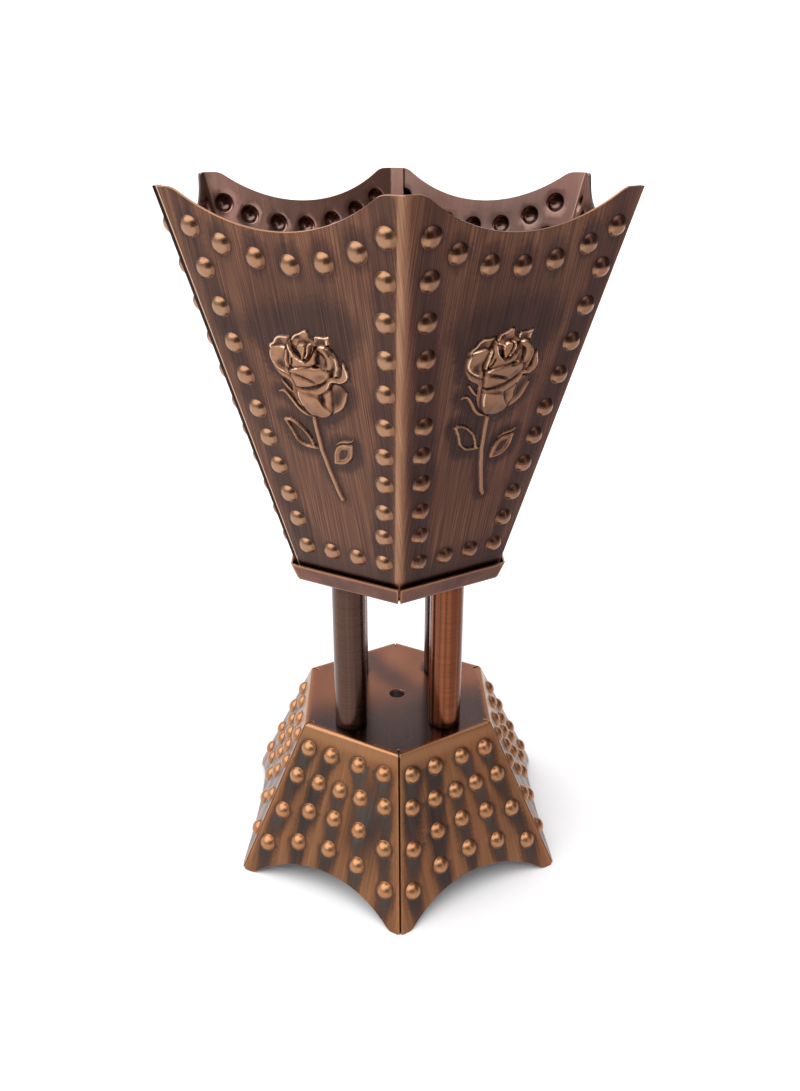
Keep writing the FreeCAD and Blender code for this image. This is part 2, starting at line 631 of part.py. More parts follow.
# ----------------------------------------------------------- charcoal dish
t = DISH_SHEET
zr, zl = DISH_RIM_Z, DISH_LOW_Z
prof = [
    (0, zl), (DISH_LOW_R - 2.5, zl), (DISH_LOW_R, zl + 1.6), (DISH_WELL_R + t, zr - 0.9 - t),
    (DISH_RIM_R, zr - t), (DISH_RIM_R, zr), (DISH_WELL_R + 0.4, zr), (DISH_WELL_R - 0.5, zr - 1.6),
    (DISH_LOW_R - t - 0.2, zl + 2.2), (DISH_LOW_R - 3.0, zl + t), (0, zl + t),
]
dish = Part.Face(wire_of([(r, 0, z) for r, z in prof])).revolve(V(0, 0, 0), V(0, 0, 1), 360)
save("charcoal_dish", dish)
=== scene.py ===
import math

import bpy
import bmesh
import numpy as np
from mathutils import Vector, Matrix
from mathutils.geometry import delaunay_2d_cdt


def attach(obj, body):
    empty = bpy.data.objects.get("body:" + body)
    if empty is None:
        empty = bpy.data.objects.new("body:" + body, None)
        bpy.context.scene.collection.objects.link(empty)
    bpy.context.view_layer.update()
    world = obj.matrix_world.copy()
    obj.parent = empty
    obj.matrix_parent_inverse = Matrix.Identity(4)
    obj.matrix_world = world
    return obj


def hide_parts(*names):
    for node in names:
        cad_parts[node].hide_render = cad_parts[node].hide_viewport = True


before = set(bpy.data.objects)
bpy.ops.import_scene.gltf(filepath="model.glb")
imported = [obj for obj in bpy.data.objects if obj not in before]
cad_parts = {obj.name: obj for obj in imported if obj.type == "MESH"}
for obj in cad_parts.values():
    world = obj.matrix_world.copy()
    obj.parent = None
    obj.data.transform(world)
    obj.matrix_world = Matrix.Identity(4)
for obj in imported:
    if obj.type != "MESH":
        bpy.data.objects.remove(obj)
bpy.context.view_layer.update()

RNG = np.random.default_rng(20)
MM = 0.001

# ---------------------------------------------------------------- dimensions
# millimetres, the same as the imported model
T_BOWL = 0.6
BOWL_TOP_R, BOWL_TOP_Z = 65.78, 206.3
BOWL_LOW_R, BOWL_LOW_Z = 34.54, 103.8
FOLD_R = 1.35
RIM_ARC_R, RIM_LOW_S, RIM_SHOULDER_R = 46.0, 96.8, 6.0
RIM_TOP_S = 105.82
TAB_W, TAB_GAP = 4.2, 0.12
BOWL_S0 = -5.7

T_TRAY = 0.6
TRAY_Z, TRAY_LOW_R, TRAY_TOP_R, TRAY_TOP_Z = 97.5, 33.7, 35.95, 102.9
T_BASE = 0.8
BASE_TOP_Z, BASE_TOP_R, BASE_LOW_R = 47.0, 33.75, 58.0
ARCH_R, ARCH_TOP_S, ARCH_FOOT_R = 38.0, 9.35, 4.0
POST_X, POST_Y, POST_R = 14.6, 15.6, 5.0
EDGE = 0.07

DOME_R, DOME_H, DOME_WALL = 2.62, 1.65, 0.26
COS30 = math.cos(math.radians(30))
TAN30 = math.tan(math.radians(30))

DOMES_A = [
    (-24.5, 96.9), (-16.6, 93.2), (-7.6, 90.4), (1.6, 89.3), (10.8, 90.4), (19.9, 93.3), (27.5, 96.9),
    (-23.0, 87.1), (-21.3, 77.5), (-20.0, 68.2), (-18.7, 59.4), (-17.4, 50.0), (-16.1, 41.6),
    (-14.8, 33.2), (-13.6, 24.2), (-12.5, 16.1), (-11.4, 7.0),
    (25.9, 87.2), (24.4, 77.6), (23.3, 68.3), (21.7, 59.4), (20.3, 50.1), (18.8, 41.6),
    (17.6, 33.2), (16.2, 24.2), (14.8, 16.0), (13.5, 7.0),
    (-3.1, 7.0), (5.2, 7.0),
]
DOMES_B = [
    (-24.4, 96.9), (-16.8, 92.9), (-7.7, 89.8), (1.7, 89.0), (10.9, 89.9), (19.9, 93.0), (27.4, 96.9),
    (-23.0, 87.2), (-21.9, 77.5), (-20.6, 68.3), (-19.4, 59.4), (-18.1, 50.2), (-17.2, 41.8),
    (-15.8, 33.3), (-14.6, 24.4), (-13.4, 16.3), (-12.1, 7.0),
    (25.8, 86.9), (24.1, 77.4), (22.5, 68.0), (21.2, 59.0), (19.3, 49.8), (18.0, 41.6),
    (16.6, 33.2), (15.3, 24.2), (14.1, 15.9), (12.9, 7.0),
    (-3.7, 7.0), (4.7, 7.0),
]
DOMES_BASE = [
    (-13.8, 44.3), (-5.6, 44.3), (4.25, 44.3), (13.0, 44.3),
    (-16.1, 34.9), (-7.95, 34.9), (-0.35, 34.9), (7.1, 34.9), (15.4, 34.9),
    (-18.65, 22.8), (-9.35, 25.3), (-0.35, 25.9), (8.7, 25.3), (18.0, 22.8),
    (-21.75, 11.1), (-10.95, 15.0), (-0.1, 16.4), (10.4, 15.0), (21.1, 11.1),
]


# ------------------------------------------------------------------ geometry
def unit(v):
    v = np.asarray(v, float)
    return v / np.linalg.norm(v, axis=-1, keepdims=True)


def corner(angle, r, z):
    a = math.radians(angle)
    return np.array([r * math.cos(a), r * math.sin(a), z])


class Panel:
    """A flat side between the hexagon corners at a0 and a0+60 degrees: u to
    the right seen from outside, s up the slope, n outwards, in millimetres."""

    def __init__(self, a0, r_low, z_low, r_top, z_top):
        b0, b1 = corner(a0, r_low, z_low), corner(a0 + 60, r_low, z_low)
        t0, t1 = corner(a0, r_top, z_top), corner(a0 + 60, r_top, z_top)
        self.a0 = a0
        self.o = (b0 + b1) / 2
        self.u = unit(b1 - b0)
        m = (t0 + t1) / 2 - self.o
        self.length = float(np.linalg.norm(m))
        self.s = m / self.length
        self.n = np.cross(self.u, self.s)
        self.low_w, self.top_w = r_low, r_top

    def half(self, s):
        return 0.5 * (self.low_w + (self.top_w - self.low_w) * np.asarray(s, float) / self.length)

    def at(self, u, s, n=0.0):
        u, s, n = np.broadcast_arrays(np.asarray(u, float), np.asarray(s, float), np.asarray(n, float))
        return self.o + u[..., None] * self.u + s[..., None] * self.s + n[..., None] * self.n

    def us(self, p):
        d = np.asarray(p, float) - self.o
        return d @ self.u, d @ self.s


def fold_frame(o1, n1, o2, n2):
    """Where two planes meet: a point and direction of the line."""
    d = unit(np.cross(n1, n2))
    if abs(d[2]) > 1e-6 and d[2] < 0:
        d = -d
    a = np.array([n1, n2, d])
    p = np.linalg.solve(a, [n1 @ o1, n2 @ o2, d @ o1])
    return p, d


def slerp(n1, n2, f):
    w = math.acos(max(-1, min(1, float(n1 @ n2))))
    return (math.sin((1 - f) * w) * n1 + math.sin(f * w) * n2) / math.sin(w)


# a mesh is collected from patches that share only the positions of their rims
class Piece:
    def __init__(self):
        self.v, self.f, self.uv, self.att = [], [], [], []
        self.mat = []
        self.count = 0

    def add(self, verts, faces, uv, patina=0.0, polish=0.0, mat=0, flip=False):
        verts = np.asarray(verts, float).reshape(-1, 3)
        n = len(verts)
        uv = np.asarray(uv, float).reshape(-1, 2)
        pat = np.broadcast_to(np.asarray(patina, float).ravel() if np.ndim(patina) else patina, (n,))
        pol = np.broadcast_to(np.asarray(polish, float).ravel() if np.ndim(polish) else polish, (n,))
        self.v.append(verts)
        self.uv.append(uv)
        self.att.append(np.stack([pat, pol], 1))
        for face in faces:
            face = [int(i) + self.count for i in face]
            self.f.append(face[::-1] if flip else face)
            self.mat.append(mat)
        self.count += n

    def build(self, name, materials, weld=2e-4, sharp=32.0, smooth=True):
        v = np.concatenate(self.v)
        uv = np.concatenate(self.uv)
        att = np.concatenate(self.att)
        me = bpy.data.meshes.new(name)
        me.from_pydata((v * MM).tolist(), [], self.f)
        layer = me.uv_layers.new(name="sheet")
        loops = np.zeros(len(me.loops), np.int32)
        me.loops.foreach_get("vertex_index", loops)
        layer.uv.foreach_set("vector", (uv[loops] * 0.01).astype(np.float32).ravel())
        for k, key in enumerate(("patina", "polish")):
            a = me.attributes.new(key, "FLOAT", "CORNER")
            a.data.foreach_set("value", att[loops, k].astype(np.float32))
        for m in materials:
            me.materials.append(m)
        me.polygons.foreach_set("material_index", np.array(self.mat, np.int32))
        bm = bmesh.new()
        bm.from_mesh(me)
        bmesh.ops.remove_doubles(bm, verts=bm.verts, dist=weld * MM * 5)
        bmesh.ops.recalc_face_normals(bm, faces=bm.faces)
        bm.to_mesh(me)
        bm.free()
        me.polygons.foreach_set("use_smooth", np.ones(len(me.polygons), bool))
        me.set_sharp_from_angle(angle=math.radians(sharp))
        me.update()
        ob = bpy.data.objects.new(name, me)
        bpy.context.scene.collection.objects.link(ob)
        return ob


def grid_faces(rows, cols, closed=False):
    out = []
    for i in range(rows - 1):
        for j in range(cols - (0 if closed else 1)):
            k = (j + 1) % cols
            out.append((i * cols + j, i * cols + k, (i + 1) * cols + k, (i + 1) * cols + j))
    return out


def inside(poly, pts):
    """Points inside a closed polygon, by crossings."""
    x, y = pts[:, 0], pts[:, 1]
    res = np.zeros(len(pts), bool)
    a, b = poly, np.roll(poly, -1, 0)
    for (x0, y0), (x1, y1) in zip(a, b):
        if y0 == y1:
            continue
        c = ((y0 > y) != (y1 > y)) & (x < (x1 - x0) * (y - y0) / (y1 - y0) + x0)
        res ^= c
    return res


def seg_dist(pts, line, closed=False):
    """Distance of points to a polyline."""
    a = line if closed else line[:-1]
    b = np.roll(line, -1, 0) if closed else line[1:]
    best = np.full(len(pts), 1e9)
    for p, q in zip(a, b):
        d = q - p
        ll = float(d @ d)
        if ll < 1e-12:
            continue
        t = np.clip(((pts - p) @ d) / ll, 0, 1)
        e = pts - p - t[:, None] * d
        best = np.minimum(best, e[:, 0] ** 2 + e[:, 1] ** 2)
    return np.sqrt(best)


def spline(points, per=10, closed=False):
    """Smooth line through points (centripetal Catmull-Rom)."""
    p = np.asarray(points, float)
    if closed:
        p = np.concatenate([p[-1:], p, p[:2]])
    else:
        p = np.concatenate([2 * p[:1] - p[1:2], p, 2 * p[-1:] - p[-2:-1]])
    out = []
    for i in range(len(p) - 3):
        p0, p1, p2, p3 = p[i:i + 4]
        t0 = 0.0
        t1 = t0 + max(np.linalg.norm(p1 - p0), 1e-6) ** 0.5
        t2 = t1 + max(np.linalg.norm(p2 - p1), 1e-6) ** 0.5
        t3 = t2 + max(np.linalg.norm(p3 - p2), 1e-6) ** 0.5
        for t in np.linspace(t1, t2, per, endpoint=False):
            a1 = (t1 - t) / (t1 - t0) * p0 + (t - t0) / (t1 - t0) * p1
            a2 = (t2 - t) / (t2 - t1) * p1 + (t - t1) / (t2 - t1) * p2
            a3 = (t3 - t) / (t3 - t2) * p2 + (t - t2) / (t3 - t2) * p3
            b1 = (t2 - t) / (t2 - t0) * a1 + (t - t0) / (t2 - t0) * a2
            b2 = (t3 - t) / (t3 - t1) * a2 + (t - t1) / (t3 - t1) * a3
            out.append((t2 - t) / (t2 - t1) * b1 + (t - t1) / (t2 - t1) * b2)
    if not closed:
        out.append(p[-2])
    return np.array(out)


def bowed(outline):
    p = outline.copy()
    n = len(p)
    d = unit(np.roll(p, -1, 0) - p)
    bend = np.abs(d[:, 0] * np.roll(d, 1, 0)[:, 1] - d[:, 1] * np.roll(d, 1, 0)[:, 0]) > 2e-3
    corners = np.where(bend)[0]
    for a, b in zip(corners, np.roll(corners, -1)):
        m = (b - a) % n
        if m < 2:
            continue
        nrm = np.array([-d[a][1], d[a][0]])
        for j in range(1, m):
            p[(a + j) % n] += nrm * (6e-5 * j * (m - j))
    return p


def triangulate(outline, loops, extra, step, rng, keep_out=None):
    """Plane triangulation of an outline with closed loops cut out of it, and
    scattered points between them. Returns points and triangles."""
    outline = np.asarray(outline, float)
    pts = [outline]
    edges = []
    n = len(outline)
    edges += [(i, (i + 1) % n) for i in range(n)]
    base = n
    for lp in loops:
        m = len(lp)
        pts.append(np.asarray(lp, float))
        edges += [(base + i, base + (i + 1) % m) for i in range(m)]
        base += m
    lo, hi = outline.min(0), outline.max(0)
    gx = np.arange(lo[0], hi[0], step)
    gy = np.arange(lo[1], hi[1], step * 0.87)
    xx, yy = np.meshgrid(gx, gy)
    xx = xx + (np.arange(len(gy)) % 2)[:, None] * step * 0.5
    g = np.stack([xx.ravel(), yy.ravel()], 1) + rng.uniform(-0.12, 0.12, (xx.size, 2)) * step
    ok = inside(outline, g)
    g = g[ok]
    g = g[seg_dist(g, outline, True) > step * 0.45]
    for lp in loops:
        lp = np.asarray(lp, float)
        c, r = lp.mean(0), np.linalg.norm(lp - lp.mean(0), axis=1).max()
        near = np.linalg.norm(g - c, axis=1) < r + step * 0.6
        if near.any():
            sub = g[near]
            bad = inside(lp, sub) | (seg_dist(sub, lp, True) < step * 0.4)
            idx = np.where(near)[0][bad]
            g = np.delete(g, idx, 0)
    if extra is not None and len(extra):
        keep = inside(outline, extra)
        extra = extra[keep]
        extra = extra[seg_dist(extra, outline, True) > 0.12]
        for lp in loops:
            lp = np.asarray(lp, float)
            c, r = lp.mean(0), np.linalg.norm(lp - lp.mean(0), axis=1).max()
            near = np.linalg.norm(extra - c, axis=1) < r + 0.12
            extra = extra[~near]
        # no scattered point on top of the dense ones
        cell = step * 0.5
        taken = set(map(tuple, np.floor(extra / cell).astype(int)))
        g = g[[tuple(q) not in taken for q in np.floor(g / cell).astype(int)]]
        g = np.concatenate([g, extra])
    pts.append(g)
    allp = np.concatenate(pts)
    # straight runs of the outline are bowed in a hair while the triangles are
    # found, so that no run of points is exactly in line
    work = allp.copy()
    work[:n] = bowed(outline)
    v, _, f, src, *_ = delaunay_2d_cdt([Vector(p) for p in work], edges, [], 0, 1e-6)
    look = np.array([(p.x, p.y) for p in v])
    v = np.array([allp[k[0]] if len(k) else (p.x, p.y) for k, p in zip(src, v)])
    f = np.array([t for t in f if len(t) == 3], int)
    c = look[f].mean(1)
    good = inside(work[:n], c)
    for lp in loops:
        lp = np.asarray(lp, float)
        m, r = lp.mean(0), np.linalg.norm(lp - lp.mean(0), axis=1).max()
        near = good & (np.linalg.norm(c - m, axis=1) < r + 1)
        if near.any():
            idx = np.where(near)[0]
            good[idx[inside(lp, c[idx])]] = False
    f = f[good]
    a = look[f]
    area = (a[:, 1, 0] - a[:, 0, 0]) * (a[:, 2, 1] - a[:, 0, 1]) - (a[:, 2, 0] - a[:, 0, 0]) * (a[:, 1, 1] - a[:, 0, 1])
    f[area < 0] = f[area < 0][:, ::-1]
    return v, f


# --------------------------------------------------------------------- domes
RS = (DOME_R ** 2 + DOME_H ** 2) / (2 * DOME_H)
CD = RS - DOME_H
RF = 0.24
RC = math.sqrt((RS + RF) ** 2 - (CD + RF) ** 2)
NSEG = 28


def dome_profile():
    """Radius and height from the top of a dome down to the sheet."""
    rt = RC * RS / (RS + RF)
    a_end = math.asin(rt / RS)
    rows = [(RS * math.sin(a), RS * math.cos(a) - CD) for a in np.linspace(0, a_end, 9)]
    a0 = math.atan2(rt - RC, (RS * math.cos(a_end) - CD) - RF)
    for f in np.linspace(0, 1, 5)[1:]:
        a = a0 * (1 - f) + (-math.pi if a0 < 0 else math.pi) * f
        rows.append((RC + RF * math.sin(a), RF + RF * math.cos(a)))
    return rows


def dimple_profile(t):
    r0 = RS - DOME_WALL
    rows = [(r0 * math.sin(a), r0 * math.cos(a) - CD) for a in np.linspace(0, math.acos((CD - t + 0.45) / r0), 7)]
    r_last = rows[-1][0]
    rows += [(r_last + 0.16, -t + 0.24), (r_last + 0.34, -t + 0.10), (r_last + 0.50, -t + 0.03), (r_last + 0.64, -t)]
    return rows


OUT_PROF = dome_profile()
RING_OUT = OUT_PROF[-1][0]


def ring(c, r, n=NSEG):
    a = np.arange(n) * 2 * math.pi / n
    return np.stack([c[0] + r * np.cos(a), c[1] + r * np.sin(a)], 1)


def cap_rows(c, prof, n, scale=1.0, tilt=(0.0, 0.0)):
    """Points of a dome in panel coordinates, rim row last."""
    us, ns = [], []
    rim = prof[-1][1]
    for r, h in prof:
        p = ring(c, r, n)
        us.append(p)
        hh = rim + (h - rim) * scale
        fall = (h - rim) / (prof[0][1] - rim)
        ns.append(np.full(n, hh) + (tilt[0] * (p[:, 0] - c[0]) + tilt[1] * (p[:, 1] - c[1])) * fall)
    return np.concatenate(us), np.concatenate(ns)


def cap_faces(rows, n):
    """From the apex out. The apex row is one repeated point."""
    out = [(n + j, n + (j + 1) % n, j) for j in range(0)]
    faces = []
    for j in range(n):
        faces.append((0, n + j, n + (j + 1) % n))
    for i in range(1, rows - 1):
        for j in range(n):
            k = (j + 1) % n
            faces.append((i * n + j, (i + 1) * n + j, (i + 1) * n + k, i * n + k))
    return faces


# -------------------------------------------------------- flat parts of sheet
def inset(outline, free, e):
    """Outline moved in by e along its free edges only."""
    p = np.asarray(outline, float)
    n = len(p)
    out = np.empty_like(p)
    for i in range(n):
        a, b, c = p[i - 1], p[i], p[(i + 1) % n]
        d1, d2 = unit(b - a), unit(c - b)
        n1, n2 = np.array([-d1[1], d1[0]]), np.array([-d2[1], d2[0]])
        o1, o2 = (e if free[i - 1] else 0.0), (e if free[i] else 0.0)
        m = np.array([n1, n2])
        det = np.linalg.det(m)
        if abs(det) < 0.08:
            out[i] = b + (n1 * o1 + n2 * o2) / 2
        else:
            out[i] = b + np.linalg.solve(m, [o1, o2])
    return out


def circle_hole(c, r, n=28):
    return ring(c, r, n)


CDT = {}


def region(key, outline, loops, step, extra=None):
    if key not in CDT:
        CDT[key] = triangulate(outline, loops, extra, step, np.random.default_rng(len(CDT) + 3))
    return CDT[key]


def flat(piece, key, place, outline, free, t, att, domes=(), holes=(), step=(1.0, 1.7), e=EDGE,
         relief=None, fine=None, fine_in=None, uvoff=(0.0, 0.0), wave=None, seed=1, edge_polish=1.0,
         nseg=24, nseg_in=18, mats=(0, 1, 2), edge_tone=None):
    """Both faces, the free edges, the domes and the holes of a flat area."""
    rng = np.random.default_rng(seed)
    outline = np.asarray(outline, float)
    ins = inset(outline, free, e)
    loops_o = [ring(c, RING_OUT, nseg) for c in domes] + [ring(c, r + e, 28) for c, r in holes]
    dim = dimple_profile(t)
    loops_i = [ring(c, dim[-1][0], nseg_in) for c in domes] + [ring(c, r + e, 28) for c, r in holes]
    wv = wave if wave is not None else (lambda u, s: 0.0 * u)
    if len(domes):
        around = np.concatenate([ring(c, RING_OUT + 0.42, nseg) for c in domes])
        fine = around if fine is None else np.concatenate([fine, around])
    for side, loops in ((0, loops_o), (1, loops_i)):
        v, f = region((key, side), ins, loops, step[side], fine if side == 0 else fine_in)
        n = np.zeros(len(v))
        if relief is not None:
            n = relief(v[:, 0], v[:, 1], side)
        base = 0.0 if side == 0 else -t
        pat, pol = att(v[:, 0], v[:, 1], side, n)
        piece.add(place(v[:, 0], v[:, 1], base + n + wv(v[:, 0], v[:, 1])), f, v + uvoff, pat, pol, mat=mats[side], flip=side == 1)
    # domes outside and their hollows inside
    for c in domes:
        k = 1 + rng.uniform(-0.035, 0.03)
        tilt = rng.uniform(-0.012, 0.012, 2)
        us, ns = cap_rows(c, OUT_PROF, nseg, k, tilt)
        pat, pol = att(us[:, 0], us[:, 1], 0, ns)
        piece.add(place(us[:, 0], us[:, 1], ns + wv(us[:, 0], us[:, 1])), cap_faces(len(OUT_PROF), nseg), us + uvoff,
                  pat, pol, mat=mats[0])
        us, ns = cap_rows(c, dim, nseg_in, k, tilt)
        pat, pol = att(us[:, 0], us[:, 1], 2, ns)
        piece.add(place(us[:, 0], us[:, 1], ns + wv(us[:, 0], us[:, 1])), cap_faces(len(dim), nseg_in), us + uvoff,
                  pat, pol, mat=mats[1], flip=True)
    # free edges, slightly broken
    m = len(outline)
    for i in range(m):
        if not free[i]:
            continue
        j = (i + 1) % m
        o = np.array([ins[i], ins[j], outline[i], outline[j], outline[i], outline[j], ins[i], ins[j]])
        w = wv(o[:, 0], o[:, 1])
        nn = np.array([0, 0, -e, -e, -t + e, -t + e, -t, -t]) + w
        ep, eb = (0.0, edge_polish) if edge_tone is None else edge_tone(*(0.5 * (outline[i] + outline[j])))
        piece.add(place(o[:, 0], o[:, 1], nn), [(0, 2, 3, 1), (2, 4, 5, 3), (4, 6, 7, 5)], o + uvoff,
                  ep, eb, mat=mats[2])
    for c, r in holes:
        o = np.concatenate([ring(c, r + e, 28), ring(c, r, 28), ring(c, r, 28), ring(c, r + e, 28)])
        nn = np.repeat([0, -e, -t + e, -t], 28)
        piece.add(place(o[:, 0], o[:, 1], nn), grid_faces(4, 28, True), o + uvoff, 0.0, edge_polish, mat=mats[2])


def strip(piece, outer_rows, inner_rows, outer_uv, pat=0.0, pol=0.0, mat=(0, 1), flip=False):
    """A bent strip: rows of points across the bend, outer and inner."""
    r, c = outer_rows.shape[:2]
    f = grid_faces(r, c)
    pat = np.broadcast_to(pat, (r, c)).ravel()
    pol = np.broadcast_to(pol, (r, c)).ravel()
    piece.add(outer_rows.reshape(-1, 3), f, outer_uv.reshape(-1, 2), pat, pol, mat=mat[0], flip=flip)
    piece.add(inner_rows.reshape(-1, 3), f, outer_uv.reshape(-1, 2), pat, pol * 0.4, mat=mat[1], flip=not flip)


def edge_rows(piece, a, b, c, d, uv, polish=1.0, flip=False, mat=2):
    """Closes a strip's end: a outer, b outer edge, c inner edge, d inner."""
    pts = np.concatenate([a, b, c, d])
    piece.add(pts, grid_faces(4, len(a)), np.concatenate([uv] * 4), 0.0, polish, mat=mat, flip=flip)


# ----------------------------------------------------------------- bowl rim
def rim_line():
    """Rim of a panel from right to left in (u, s)."""
    top = RIM_TOP_S
    cs = RIM_LOW_S + RIM_ARC_R
    dv = cs - (top - RIM_SHOULDER_R)
    dist = RIM_ARC_R + RIM_SHOULDER_R
    uc = math.sqrt(dist ** 2 - dv ** 2)
    a_t = math.atan2(dv, uc)
    pts = []
    for a in np.linspace(math.pi / 2, math.pi - a_t, 8):
        pts.append((uc + RIM_SHOULDER_R * math.cos(a), top - RIM_SHOULDER_R + RIM_SHOULDER_R * math.sin(a)))
    for a in np.linspace(-a_t, -math.pi + a_t, 60)[1:]:
        pts.append((RIM_ARC_R * math.cos(a), cs + RIM_ARC_R * math.sin(a)))
    for a in np.linspace(a_t, math.pi / 2, 8)[1:]:
        pts.append((-uc + RIM_SHOULDER_R * math.cos(a), top - RIM_SHOULDER_R + RIM_SHOULDER_R * math.sin(a)))
    return np.array(pts)


RIM = rim_line()


def rim_s(u):
    r = RIM[::-1]
    return np.interp(u, r[:, 0], r[:, 1])


W = math.atan((BOWL_TOP_R - BOWL_LOW_R) * COS30 / (BOWL_TOP_Z - BOWL_LOW_Z))
CW, SW = math.cos(W), math.sin(W)
FOOT_Z = TRAY_Z + T_TRAY
S_RELIEF = (99.3 - BOWL_LOW_Z) / CW
BEND_FOOT = 0.9
S_SHARP = (FOOT_Z - BOWL_LOW_Z) / CW
S_BEND = S_SHARP + BEND_FOOT / math.tan((math.pi / 2 + W) / 2)


def bowl_apothem(s):
    return BOWL_LOW_R * COS30 + np.asarray(s, float) * SW


def relief_w(a):
    return np.asarray(a, float) * TAN30 - 2.2 / COS30


class Fold:
    """Bend between plane q and plane r, r lying depth further in."""

    def __init__(self, q, r, depth, radius):
        self.q, self.r, self.radius = q, r, radius
        self.nq, self.nr = q.n, r.n
        c = (q.o - r.o) @ r.n
        self.k = -(q.s @ r.n) / (q.u @ r.n)
        self.c = (-depth - c) / (q.u @ r.n)
        th = math.acos(float(q.n @ r.n))
        off = radius * math.tan(th / 2) * math.sqrt(1 + self.k ** 2)
        self.sign = 1 if q.u @ r.n > 0 else -1
        self.off = off

    def u(self, s):
        return self.c + self.k * np.asarray(s, float) - self.sign * self.off

    def axis(self, s):
        return self.q.at(self.u(s), s, 0) - self.radius * self.nq

    def other(self, s):
        return self.r.us(self.axis(s) + self.radius * self.nr)

    def rows(self, s, rad, steps=8):
        a = self.axis(s)
        out = []
        for f in np.linspace(0, 1, steps + 1):
            nn = self.nq if f == 0 else self.nr if f == 1 else slerp(self.nq, self.nr, f)
            out.append(a + rad * nn)
        return np.stack(out, 1)


ROWS = np.concatenate([[S_RELIEF + EDGE], np.arange(-4.0, 105.0, 1.0), [RIM_TOP_S - EDGE]])
EDGE_ROWS = np.concatenate([[S_RELIEF], ROWS[1:-1], [RIM_TOP_S]])
